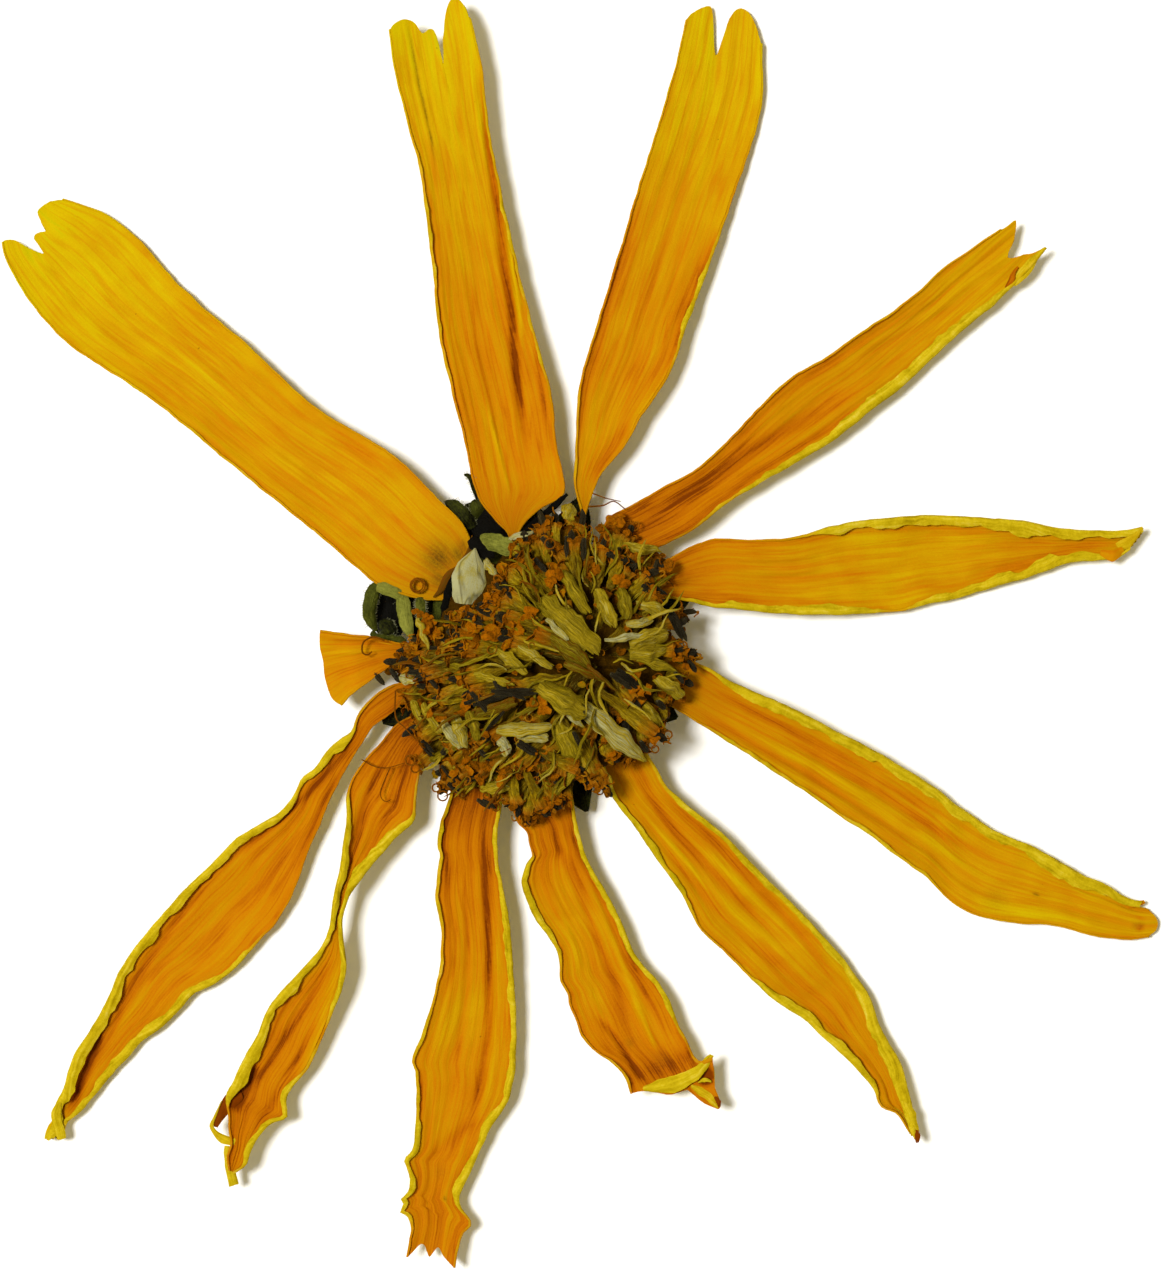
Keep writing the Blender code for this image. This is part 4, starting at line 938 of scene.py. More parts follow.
# %% Blades, tubes and threads
def directions(path):
    """Unit vectors along a path and across it, carried from point to point."""
    tangents = np.gradient(path, axis=0)
    tangents /= np.maximum(np.linalg.norm(tangents, axis=1, keepdims=True), 1e-9)
    side = np.array([0.0, 0.0, 1.0]) if abs(tangents[0][2]) < 0.9 else np.array([1.0, 0.0, 0.0])
    sides = []
    for tangent in tangents:
        side = side - tangent * (side @ tangent)
        side = side / np.linalg.norm(side)
        sides.append(side)
    sides = np.array(sides)
    return tangents, sides, np.cross(tangents, sides)


def rings_along(path, radii, around, relief_share=0.0, ridges=5, squash=1.0, phase=0.0):
    """Rings of points round a path, ridged along their length and pressed flat by the squash."""
    _, sides, ups = directions(path)
    angles = phase + np.linspace(0.0, 2 * math.pi, around, endpoint=False)
    reach = np.asarray(radii)[:, None] * (1.0 + relief_share * np.cos(ridges * angles))[None, :]
    flat = np.cos(angles)[None, :, None] * sides[:, None] * squash + np.sin(angles)[None, :, None] * ups[:, None]
    return path[:, None] + reach[..., None] * flat


def blade(path, widths, fold=0.0, lean=0.0, columns=9, wrinkle=0.0, seed=0.0):
    """Upper grid of a blade along a path. The fold sinks its edges, and the lean turns it about the path."""
    tangents = np.gradient(path, axis=0)
    tangents /= np.maximum(np.linalg.norm(tangents, axis=1, keepdims=True), 1e-9)
    right = np.cross(tangents, np.array([0.0, 0.0, 1.0]))
    right /= np.maximum(np.linalg.norm(right, axis=1, keepdims=True), 1e-9)
    up = np.cross(right, tangents)
    right, up = right * math.cos(lean) + up * math.sin(lean), up * math.cos(lean) - right * math.sin(lean)
    turn = np.linspace(-1.0, 1.0, columns) * max(fold, 0.02)
    half = np.asarray(widths)[:, None] / 2 / math.sin(max(fold, 0.02))
    grid = path[:, None] + (half * np.sin(turn))[..., None] * right[:, None]
    grid = grid + (half * (np.cos(turn) - 1.0))[..., None] * up[:, None]
    if wrinkle:
        grid = grid + wrinkle * ripple(grid, 1.3, seed)[..., None] * up[:, None]
        grid = grid + 0.5 * wrinkle * ripple(grid, 3.1, seed + 5)[..., None] * right[:, None]
    return grid


def add_blade(surfaces, upper, thickness, **facts):
    rows, columns = upper.shape[:2]
    facts = {"along": np.linspace(0, 1, rows)[:, None], "across": np.linspace(-1, 1, columns)[None, :], **facts}
    surfaces.sheet(upper, upper - facing(upper) * thickness, (0, 0), **facts)


def crumple(grid, amount, scale, seed):
    """A grid pushed about in all directions, as dry tissue is."""
    return grid + amount * np.stack([ripple(grid, scale, seed + 11.3 * k) for k in range(3)], axis=-1)


def add_thread(surfaces, points, radius, around=5, steps=5, **facts):
    """A thread through given points that thins towards its end."""
    path = smooth_chain(points, steps)
    radii = radius * np.linspace(1.0, 0.6, len(path))
    surfaces.tube(rings_along(path, radii, around), along=np.linspace(0, 1, len(path))[:, None], **facts)


print("a blade of 9 columns is ready")

# %% Make the petals
for number, (name, petal) in enumerate(PETALS.items()):
    upper, lower, facts = petal_grids(petal, 3.7 * number)
    petal_surface = Surfaces()
    petal_surface.sheet(upper, lower, (0, 0), **facts)
    for points, widths, back, warmth, stain in STRIPS.get(name, []):
        shares = np.linspace(0.0, 1.0, STRIP_POINTS)
        spine = read_along(smooth_chain(points), shares)
        own_widths = np.interp(shares, np.linspace(0.0, 1.0, len(widths)), widths)
        strip = crumple(blade(spine, own_widths, 0.5, 0.1, 9), 0.1, 1.6, number)
        add_blade(petal_surface, strip, EDGE_SHEET, seed=3.7 * number, back=back, stain=stain, fold=0.0,
                  warmth=warmth, along=20.0 + 3.0 * shares[:, None], across=np.linspace(0.0, 0.8, 9)[None])
    made = petal_surface.piece("petal_" + name[-2:], [PETAL], "rays", name)
    print(made.name, len(made.data.polygons), "faces")

# %% [markdown]
# Below the disc sits the cup, which on the living plant is made of green bracts in two rows. It isn't
# seen from above except at the upper left, where the leaves show dark between the petals, but the head
# should be right from below too. The cup is a turned profile whose radius is waved into ribs, and the
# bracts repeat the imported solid's own rule, so each of them lies where its solid lies.

# %% Finish of the cup and its bracts
def leaf_finish(name, dark, middle, pale, depth):
    """Dull dried leaf: veins along it, cloudy spots, and a fine down that lightens it."""
    material, tree, shader = new_finish(name)
    across, along, seed = fact(tree, "across"), fact(tree, "along"), fact(tree, "seed")
    vein = grain(tree, place(tree, maths(tree, "MULTIPLY", across, 3.0), along, seed), 2.6, 3.0, 0.6)
    where = add(tree, "ShaderNodeNewGeometry").outputs["Position"]
    cloud = grain(tree, where, 900.0, 3.0, 0.6)
    down = grain(tree, where, 6000.0, 2.0, 0.7)
    tone = maths(tree, "ADD", fact(tree, "tint"), maths(tree, "MULTIPLY", vein, 0.55))
    tone = maths(tree, "ADD", tone, maths(tree, "MULTIPLY", cloud, 0.6))
    tone = maths(tree, "ADD", tone, maths(tree, "MULTIPLY", down, 0.45), True)
    colour = ramp(tree, tone, [(0.0, dark), (0.45, middle), (1.0, pale)])
    put(tree, shader.inputs["Base Color"], colour)
    put(tree, shader.inputs["Roughness"], maths(tree, "ADD", 0.7, maths(tree, "MULTIPLY", vein, 0.3)))
    shader.inputs["Specular IOR Level"].default_value = 0.06
    relief(tree, shader, maths(tree, "ADD", vein, down), depth)
    return material


BRACT_GREEN = leaf_finish("bract green", paint(10, 8, 3), paint(78, 82, 20), paint(158, 158, 62), 0.10)
HAIR_PALE = leaf_finish("pale hairs", paint(96, 98, 66), paint(150, 150, 108), paint(200, 198, 160), 0.02)
print("bract finishes:", BRACT_GREEN.name, HAIR_PALE.name)

# %% Make the cup
CUP_MIDDLE = np.array([-3.2, -1.2])
CUP_PROFILE = [(0.05, 0.0), (3.5, 0.0), (4.6, 0.4), (5.7, 0.9), (6.5, 1.6), (6.85, 2.1), (6.4, 2.75), (0.05, 2.8)]
CUP_RIBS = 24
CUP_AROUND = 144
BRACT_ROWS = [(10.0, 1.15, 1.55), (8.7, 1.9, 2.1)]
BRACTS_A_ROW = 8
BRACT_WIDTH = 3.0
BRACT_ROOT = 4.5
BRACT_OUTLINE = [(0.0, 0.6), (0.3, 1.0), (0.55, 0.95), (0.8, 0.6), (1.0, 0.08)]
FIRST_BRACT_DEGREES = 113.0
RULE_SEED = 12
GOLDEN_ANGLE = math.pi * (3.0 - math.sqrt(5.0))


def turned(profile, middle, around, rows, relief_mm, ribs=0, rib_mm=0.0, seed=0.0):
    """Rings of a turned shape with a rough skin."""
    chain = read_along(np.array(profile, float), np.linspace(0.0, 1.0, rows))
    angles = np.linspace(0.0, 2 * math.pi, around, endpoint=False)
    ring = np.stack([np.cos(angles), np.sin(angles), 0 * angles], axis=1)
    grid = chain[:, None, :1] * ring[None] + chain[:, None, 1:] * np.array([0.0, 0.0, 1.0])
    fade = np.clip(chain[:, :1] / chain[:, 0].max(), 0.0, 1.0) ** 2
    push = relief_mm * ripple(grid, 1.4, seed) + rib_mm * np.cos(ribs * angles)[None] * fade
    return grid + push[..., None] * ring[None] + np.array([*middle, 0.0])


cup = Surfaces()
cup_rings = turned(CUP_PROFILE, CUP_MIDDLE, CUP_AROUND, 34, 0.12, CUP_RIBS, 0.10, 3.0)
cup_rings[..., 2] = np.maximum(cup_rings[..., 2], 0.0)
cup.tube(cup_rings, tint=0.32, along=np.linspace(0, 1, 34)[:, None], across=np.linspace(-6, 6, CUP_AROUND)[None],
         seed=1.0)

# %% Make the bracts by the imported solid's rule
BRACT_SHEET = 0.28
HAIR_RADIUS = 0.016


def out_from_cup(points, degrees):
    """Points of a bract that runs out along +X, turned about the cup's middle."""
    turn = math.radians(degrees)
    spun = np.array([[math.cos(turn), math.sin(turn), 0], [-math.sin(turn), math.cos(turn), 0], [0, 0, 1]])
    return np.asarray(points) @ spun + np.array([*CUP_MIDDLE, 0.0])


hairs = Surfaces()
hair_draw = random.Random(5)


def edge_hairs(grid, every, length, seed):
    """Short pale hairs that stand off both edges of a blade."""
    rise = facing(grid)
    for column, outward in ((0, -1.0), (-1, 1.0)):
        step = np.gradient(grid[:, column], axis=0)
        for i in range(1, len(grid) - 1, every):
            side = outward * np.cross(step[i], rise[i, column])
            side = side / max(np.linalg.norm(side), 1e-9)
            lift = rise[i, column] * hair_draw.uniform(-0.1, 0.7)
            drift = step[i] / np.linalg.norm(step[i]) * hair_draw.uniform(-0.4, 0.6)
            aim = (side + lift + drift) * length * hair_draw.uniform(0.5, 1.2)
            foot = grid[i, column]
            add_thread(hairs, [foot, foot + 0.5 * aim, foot + aim + 0.1 * length * rise[i, column]], HAIR_RADIUS,
                       3, 2, tint=0.5, across=0.0, seed=seed)


bracts = Surfaces()
bract_draw = random.Random(RULE_SEED)
for row, (reach, root_height, tip_height) in enumerate(BRACT_ROWS):
    for i in range(BRACTS_A_ROW):
        degrees = FIRST_BRACT_DEGREES + (i + 0.5 * row) * 360.0 / BRACTS_A_ROW + bract_draw.uniform(-4.0, 4.0)
        own_reach = reach + bract_draw.uniform(-0.5, 0.6)
        own_width = BRACT_WIDTH + bract_draw.uniform(-0.3, 0.3)
        own_tip = tip_height + bract_draw.uniform(-0.15, 0.15)
        shares = np.linspace(0.0, 1.0, 26)
        rise = root_height + (own_tip - root_height) * shares ** 2 + 0.25
        spine = np.stack([BRACT_ROOT + shares * (own_reach - BRACT_ROOT), 0 * shares, rise], axis=1)
        outline = read_along(smooth_chain(BRACT_OUTLINE), shares)
        widths = own_width * np.interp(shares, outline[:, 0], outline[:, 1])
        upper = blade(out_from_cup(spine, degrees), widths, -0.35, 0.0, 13, 0.14, 2.0 * i + row)
        add_blade(bracts, upper, BRACT_SHEET, tint=0.08 + 0.1 * row, seed=3.0 * i + row)
        edge_hairs(upper, 2, 0.22, 1.0 * i)
print("bracts by rule:", len(BRACT_ROWS) * BRACTS_A_ROW)

# %% [markdown]
# At the upper left the petals leave the bracts bare. One has curled round into a dark hairy hook, with black shade
# inside it, and light green strips stand beside it. Those are blades along given points, each with three numbers: to
# the right, up the picture, and the height above the card.

# %% Bracts that show from above
# Blades with a tint below zero are near-black sheets of painted shade: the shade inside the curled hook and in the
# gaps under the petals' feet.
SHOWN_BRACTS = [
    # points along the blade, width, fold, lean, tint, wrinkle
    ([(-11.9, 3.0, 2.6), (-12.6, 2.95, 3.0), (-13.0, 2.4, 3.2), (-13.15, 1.6, 3.2), (-13.05, 0.9, 3.0),
      (-12.8, 0.3, 2.6)], 0.95, 0.9, 0.3, 0.4, 0.16),
    ([(-10.7, 2.2, 2.2), (-10.4, 0.8, 2.3), (-10.0, -0.5, 2.4)], 1.1, 0.3, 0.0, -0.6, 0.2),
    ([(-12.75, 3.0, 3.3), (-12.2, 2.9, 3.45), (-11.5, 2.6, 3.4), (-10.9, 2.3, 3.1)], 0.75, 0.6, 0.0, 0.8, 0.1),
    ([(-12.2, 3.2, 1.9), (-12.1, 1.6, 1.8), (-11.9, -0.3, 1.7)], 2.3, 0.3, 0.0, -1.2, 0.2),
    ([(-12.6, 0.9, 2.2), (-12.1, 0.4, 2.7), (-11.8, -0.2, 2.3)], 1.1, 1.0, 0.0, 0.08, 0.2),
    ([(-13.1, 0.2, 2.5), (-12.6, -0.15, 2.8), (-11.6, -0.25, 2.9), (-10.9, -0.35, 3.0)], 0.5, 0.9, 0.0, 0.36, 0.25),
    ([(-11.2, 2.6, 3.2), (-11.05, 1.6, 3.6), (-10.9, 0.8, 3.8), (-10.6, -0.1, 3.8)], 0.9, 0.7, 0.0, 0.78, 0.1),
    ([(-10.05, 2.4, 3.5), (-10.0, 1.7, 3.9), (-9.95, 1.0, 4.1)], 0.6, 0.7, 0.0, 0.5, 0.1),
    ([(-8.6, 1.0, 4.0), (-8.35, 2.4, 4.3), (-7.9, 3.9, 4.3)], 0.5, 0.5, 0.0, -1.2, 0.2),
    ([(-3.9, 5.35, 5.8), (-4.8, 5.5, 5.8), (-5.6, 5.8, 5.5), (-6.3, 6.1, 4.9)], 1.15, 0.7, 0.1, 0.69, 0.2),
    ([(-6.9, 6.0, 4.2), (-6.2, 5.2, 4.5), (-5.4, 4.9, 4.7)], 0.8, 0.4, 0.0, -1.2, 0.2),
    ([(-0.9, 8.75, 4.0), (-2.2, 7.6, 4.4), (-4.1, 6.0, 4.7)], 0.4, 0.4, 0.0, -0.6, 0.2),
    ([(-6.9, 6.6, 2.8), (-7.3, 7.3, 3.2), (-8.0, 8.0, 3.0), (-8.5, 8.4, 2.4)], 1.0, 0.9, 0.2, 0.12, 0.2),
    ([(-6.2, 7.2, 2.6), (-6.5, 7.9, 3.1), (-6.8, 8.4, 3.0)], 1.0, 0.8, -0.2, 0.3, 0.2),
    ([(-4.8, 5.8, 2.4), (-5.8, 6.7, 2.9), (-6.9, 7.2, 2.5)], 2.2, 0.3, 0.0, -1.2, 0.2),
    ([(-6.3, 8.2, 2.7), (-6.75, 9.3, 3.1), (-7.0, 9.85, 3.2), (-7.35, 10.0, 3.1)], 0.45, 0.6, 0.4, 0.05, 0.06),
]
for number, (points, width, fold, lean, tint, wrinkle) in enumerate(SHOWN_BRACTS):
    spine = read_along(smooth_chain(points), np.linspace(0.0, 1.0, 30))
    widths = width * np.interp(np.linspace(0, 1, 30), (0.0, 0.2, 0.7, 0.92, 1.0), (0.7, 1.0, 0.95, 0.6, 0.2))
    upper = blade(spine, widths, fold, lean, 13, wrinkle, 4.0 + number)
    add_blade(bracts, upper, 0.14, tint=tint, seed=11.0 + number)
    # The black sheets of painted shade and the palest strips get no hairs.
    if 0.0 < tint < 0.68:
        edge_hairs(upper, 1, 0.16, 0.5 * number)
cup.piece("cup", [BRACT_GREEN], "involucre", "involucre")
bracts.piece("bracts", [BRACT_GREEN], "involucre", "involucre")
hairs.piece("bract_hairs", [HAIR_PALE], "involucre", "involucre")
print("hairs:", len(hairs.slots) // 12)

# %% [markdown]
# The disc is a crowd. Its florets stood on a dome and dried leaning away from a point a little right of
# its middle, so near that point one looks down into orange mouths, and further out along olive tubes.
# Each floret has a ribbed tube and five small lobes that curl back; many also have a dark column of anthers, and most
# of those a style that ends in two curls. Each of these four goes into a collector of its own, so one finish serves a
# whole crowd.

# %% Finishes of the disc
def disc_finish(name, stops, streaks, speckle, lines, depth, glints_and_pale_lines=0.0, gloss=0.02, ripe=None,
                pale=paint(182, 166, 62)):
    """Finish from tint, streaks along the piece and a speckle, with dark lines, pale lines that are partly painted
    glints, and a riper end.
    """
    material, tree, shader = new_finish(name)
    across, along, seed = fact(tree, "across"), fact(tree, "along"), fact(tree, "seed")
    streak = grain(tree, place(tree, across, maths(tree, "MULTIPLY", along, 0.25), seed), 6.0, 4.0, 0.65)
    where = add(tree, "ShaderNodeNewGeometry").outputs["Position"]
    mottle = maths(tree, "ADD", grain(tree, where, 3000.0, 5.0, 0.7), maths(
        tree, "MULTIPLY", grain(tree, where, 11000.0, 2.0), 0.5))
    line = hairlines(tree, place(tree, across, maths(tree, "MULTIPLY", along, 0.2), seed), 5.0, 18.0)
    light = hairlines(tree, place(tree, across, maths(tree, "MULTIPLY", along, 0.15), seed), 7.0, 34.0)
    tone = maths(tree, "ADD", fact(tree, "tint"), maths(tree, "MULTIPLY", streak, streaks))
    tone = maths(tree, "ADD", tone, maths(tree, "MULTIPLY", mottle, speckle), True)
    colour = ramp(tree, tone, stops)
    if ripe:
        end = maths(tree, "ADD", maths(tree, "SUBTRACT", along, 1.9), mottle, True)
        colour = blend(tree, maths(tree, "MULTIPLY", end, 0.9), colour, ripe)
    colour = blend(tree, maths(tree, "MULTIPLY", line, lines), colour, paint(64, 48, 2))
    # Pale lines: painted glints along the piece, and on tubes and scales partly their own pale stripes.
    colour = blend(tree, maths(tree, "MULTIPLY", light, glints_and_pale_lines), colour, pale)
    put(tree, shader.inputs["Base Color"], colour)
    put(tree, shader.inputs["Roughness"], maths(tree, "ADD", 0.65, maths(tree, "MULTIPLY", mottle, 0.4)))
    shader.inputs["Specular IOR Level"].default_value = gloss
    relief(tree, shader, maths(tree, "ADD", streak, mottle), depth)
    return material


TUBE_OLIVE = disc_finish("floret tube", [
    (0.0, paint(54, 36, 0)), (0.3, paint(106, 80, 2)), (0.5, paint(142, 114, 4)), (0.7, paint(176, 146, 16)),
    (1.0, paint(200, 174, 44))], 1.4, 0.35, 0.6, 0.06, 0.3, ripe=paint(160, 84, 0))
LOBE_ORANGE = disc_finish("floret lobe", [
    (0.0, paint(58, 33, 0)), (0.25, paint(118, 69, 0)), (0.45, paint(156, 89, 0)), (0.65, paint(184, 102, 0)),
    (0.82, paint(186, 120, 2)), (1.0, paint(146, 116, 6))], 0.6, 1.3, 0.4, 0.08)
# The anthers' lightest ramp stop and their pale lines are painted glints on the dark columns.
ANTHER_DARK = disc_finish("anther", [
    (0.0, paint(5, 3, 0)), (0.45, paint(26, 16, 1)), (0.75, paint(50, 38, 10)), (1.0, paint(116, 106, 62))],
    1.6, 0.9, 0.3, 0.05, 0.5, 0.1, pale=paint(110, 106, 72))
STYLE_BROWN = disc_finish("style", [
    (0.0, paint(76, 38, 2)), (0.5, paint(140, 80, 4)), (1.0, paint(192, 134, 20))], 0.2, 0.6, 0.0, 0.02)
HUSK = disc_finish("chaff scale", [
    (0.0, paint(180, 176, 126)), (0.16, paint(174, 162, 84)), (0.36, paint(176, 150, 26)),
    (0.58, paint(142, 120, 10)), (0.78, paint(108, 94, 6)), (1.0, paint(104, 56, 0))], 1.4, 0.3, 0.6, 0.07, 0.3)
CORE_DARK = disc_finish("core of the disc", [
    (0.0, paint(26, 15, 0)), (0.5, paint(72, 46, 0)), (1.0, paint(118, 78, 2))], 0.3, 0.9, 0.2, 0.12)
print("disc finishes made")

# %% Make the core
CORE_PROFILE = [(0.05, 3.2), (5.0, 3.2), (5.2, 4.2), (6.9, 4.35), (7.3, 4.9), (6.6, 5.5), (5.2, 6.1), (3.0, 6.7),
                (0.05, 7.0)]
core = Surfaces()
core.tube(turned(CORE_PROFILE, DISC_MIDDLE, 120, 50, 0.5, seed=9.0), tint=0.45, seed=2.0,
          along=np.linspace(0, 1, 50)[:, None], across=np.linspace(-9, 9, 120)[None])
core.piece("disc_core", [CORE_DARK], "disc", "disc")

# %% Grow one floret
CROWD_TOP = 9.0
CROWD_FALL = 4.4
CROWD_REACH = 9.3
CROWD_OUTLINE = [
    (-5.55, 2.2), (-8.3, 1.1), (-9.7, 1.4), (-10.0, -0.2), (-11.4, -0.2), (-11.9, -1.0), (-12.2, -2.4),
    (-11.8, -3.2), (-11.4, -4.3), (-10.5, -5.9), (-10.5, -8.5), (-9.4, -8.6), (-9.2, -9.8), (-8.3, -10.2),
    (-7.1, -9.9), (-6.2, -10.9), (-4.75, -10.7), (-3.3, -11.5), (-2.0, -11.2), (-0.8, -10.1), (-0.4, -8.65),
    (1.9, -9.7), (1.6, -8.6), (0.9, -7.0), (2.3, -7.9), (3.9, -7.9), (3.7, -6.4), (5.5, -6.1),
    (4.8, -5.3), (6.1, -4.2), (7.05, -2.0), (6.6, 0.4), (6.6, 2.0), (6.1, 3.6), (4.8, 4.6), (5.0, 5.4), (3.4, 6.3), (2.6, 7.0), (1.15, 7.0), (-0.4, 7.7), (-1.1, 8.2),
    (-1.8, 7.6), (-3.5, 6.3), (-4.6, 5.5)]
tubes, lobes, scraps, anthers, styles, husks = (Surfaces() for _ in range(6))


def crowd_top(x, y):
    """Height of the crowd of florets above a point of the card."""
    distance = math.hypot(x - DISC_MIDDLE[0], y - DISC_MIDDLE[1])
    return CROWD_TOP - CROWD_FALL * (distance / CROWD_REACH) ** 2


def in_crowd(x, y):
    """Whether a point seen from above lies inside the outline of the crowd."""
    inside = False
    for (x0, y0), (x1, y1) in zip(CROWD_OUTLINE, CROWD_OUTLINE[1:] + CROWD_OUTLINE[:1]):
        if (y0 > y) != (y1 > y) and x < x0 + (y - y0) * (x1 - x0) / (y1 - y0):
            inside = not inside
    return inside


def add_lobe(foot, forward, back, size, draw, tint, seed):
    """One crumpled lobe that leaves its foot forwards and curls back."""
    rows, columns = 6, 5
    shares = np.linspace(0.0, 1.0, rows)
    end_bend = draw.uniform(0.3, 2.9)
    bends = np.interp(shares, (0.0, 0.4, 1.0), (draw.uniform(-0.2, 0.5), 0.45 * end_bend, end_bend))
    steps = np.cos(bends)[:, None] * forward + np.sin(bends)[:, None] * back
    spine = foot + np.cumsum(steps, axis=0) * size * draw.uniform(0.7, 1.3) / rows
    right = np.cross(forward, back)
    right = -right / max(np.linalg.norm(right), 1e-9)
    half = 0.5 * size * np.interp(shares, (0.0, 0.35, 0.75, 1.0), (0.8, 1.0, 0.7, 0.15))
    t = np.linspace(-1.0, 1.0, columns)
    grid = spine[:, None] + (half[:, None] * t)[..., None] * right
    grid = crumple(grid, 0.34 * size, 1.9, seed)
    lobes.sheet(grid, grid - facing(grid) * 0.04, (0, 0), tint=tint, seed=seed, along=shares[:, None],
                across=t[None])


def add_scrap(middle, size, draw, tint, seed):
    """A withered lobe that has lost its order: a small patch, crumpled and turned at random."""
    turn = draw.uniform(0.0, 2 * math.pi)
    tilt = draw.uniform(-0.9, 0.9)
    one = np.array([math.cos(turn) * math.cos(tilt), math.sin(turn) * math.cos(tilt), math.sin(tilt)])
    two = np.array([-math.sin(turn), math.cos(turn), 0.0])
    steps = np.linspace(-0.5, 0.5, 8)
    rounded = np.sqrt(1.0 - 2.4 * steps ** 2)
    grid = np.array(middle) + size * (steps[:, None, None] * one + 0.8 * (rounded[:, None] * steps)[..., None] * two)
    grid = crumple(crumple(grid, 0.4 * size, 1.5, seed), 0.12 * size, 4.5, seed + 3)
    scraps.sheet(grid, grid - facing(grid) * 0.04, (0, 0), tint=tint, seed=seed, along=steps[:, None],
                 across=2 * steps[None])


def add_sliver(foot, aim, length, width, tint, draw, seed):
    """A narrow dry strip that bends a little."""
    aim = np.array(aim, float)
    side = np.array([-aim[1], aim[0], 0.0]) * draw.uniform(-0.25, 0.25)
    arch = np.array([0.0, 0.0, draw.uniform(0.0, 0.25)])
    path = smooth_chain([foot, foot + (0.5 * aim + side + arch) * length, foot + aim * length], 3)
    widths = width * np.interp(np.linspace(0, 1, len(path)), (0.0, 0.3, 0.8, 1.0), (0.5, 1.0, 0.8, 0.15))
    upper = crumple(blade(path, widths, 0.7, draw.uniform(-0.8, 0.8), 4), 0.1, 1.5, seed)
    add_blade(husks, upper, 0.04, tint=tint, seed=seed, across=np.linspace(0.0, width, 4)[None])


def add_anther(path, radius, tint, seed, around=10):
    """A dark column: pollen sacs side by side, which narrow to a point at the end."""
    shares = np.linspace(0.0, 1.0, len(path))
    radii = radius * np.interp(shares, (0.0, 0.3, 0.75, 0.93, 1.0), (0.75, 1.0, 0.95, 0.6, 0.2))
    rings = crumple(rings_along(path, radii, around, 0.3), 0.35 * radius, 2.4, seed)
    anthers.tube(rings, tint=tint, seed=seed, along=shares[:, None],
                 across=np.cos(np.linspace(0, 2 * math.pi * 5, around, endpoint=False))[None])


def curl_points(start, aim, back, radius, turns):
    """Points of a thread that leaves along its aim and winds up backwards."""
    angles = np.linspace(0.0, 2 * math.pi * turns, max(5, int(12 * turns)))
    shrink = radius * np.linspace(1.0, 0.65, len(angles))
    across = np.cross(aim, back)
    points = [start + aim * r * math.sin(a) + back * r * (1 - math.cos(a)) + across * 0.05 * a
              for a, r in zip(angles, shrink)]
    return points


def grow_floret(root, mouth, girth, draw, tint=0.45, lobe_tint=0.5, anther_length=1.1, bend=0.2):
    """A whole disc floret from its root to its open mouth."""
    root, mouth = np.array(root, float), np.array(mouth, float)
    aim = (mouth - root) / np.linalg.norm(mouth - root)
    seed = draw.uniform(0.0, 40.0)
    drift = np.array([draw.uniform(-1, 1), draw.uniform(-1, 1), draw.uniform(0.0, 1.0)]) * bend
    path = smooth_chain([root, (root + mouth) / 2 + drift, mouth], 5)
    shares = np.linspace(0.0, 1.0, len(path))
    radii = 0.5 * girth * np.interp(shares, (0.0, 0.15, 0.35, 0.85, 1.0), (0.4, 0.55, 0.85, 1.0, 1.1))
    radii = radii * (1.0 + 0.12 * np.sin(shares * 9.0 + seed))
    around = 20
    rings = rings_along(path, radii, around, 0.10, 5, draw.uniform(0.5, 0.9))
    # The tube's tint darkens towards its root with painted shade, deep in the crowd, and turns yellower towards its
    # mouth.
    tubes.tube(crumple(rings, 0.15 * girth, 1.6, seed), seed=seed, along=shares[:, None] * 3.0,
               tint=tint + 0.2 * shares[:, None] ** 3 - 0.25 * (1 - shares[:, None]) ** 2, across=np.linspace(0, 2 * math.pi * girth / 2, around)[None])
    tangents, sides, ups = directions(path)
    aim, side, up = tangents[-1], sides[-1], ups[-1]
    phase = draw.uniform(0.0, 1.2)
    for k in range(5):
        angle = phase + k * 2 * math.pi / 5 + draw.uniform(-0.25, 0.25)
        radial = math.cos(angle) * side + math.sin(angle) * up
        foot = mouth + radial * radii[-1] * 0.8 - aim * draw.uniform(0.0, 0.25)
        add_lobe(foot, aim, radial, girth * draw.uniform(0.45, 0.85), draw,
                 lobe_tint + draw.uniform(-0.25, 0.25), seed + k)
    if anther_length > 0.0:
        lean = np.array([draw.uniform(-1, 1), draw.uniform(-1, 1), draw.uniform(-0.5, 0.5)]) * 0.35
        end = mouth + (aim + lean) * anther_length
        column = smooth_chain([mouth - aim * 0.5, mouth + aim * 0.3, end], 4)
        add_anther(column, 0.16 * draw.uniform(0.8, 1.2), draw.uniform(0.25, 0.6), seed)
        for turn in (0.0, math.pi) if draw.random() < 0.6 else ():
            angle = turn + draw.uniform(-0.7, 0.7)
            back = math.cos(angle) * side + math.sin(angle) * up
            points = curl_points(end - aim * 0.1, aim, back, draw.uniform(0.2, 0.34), draw.uniform(0.6, 1.1))
            add_thread(styles, points, 0.06, 5, 1, tint=draw.uniform(0.3, 0.8), across=0.0, seed=seed)


print("crowd top in the middle:", crowd_top(*DISC_MIDDLE), "mm")

# %% [markdown]
# The largest chaff scales are landmarks of this head: striped boats, pale or golden, lying every which
# way. They are written down one by one, with the tint running from cream over yellow and olive to brown.
# A scale is a blade with a deep fold, and its keel is up, as on the plant, where it clasps a floret.

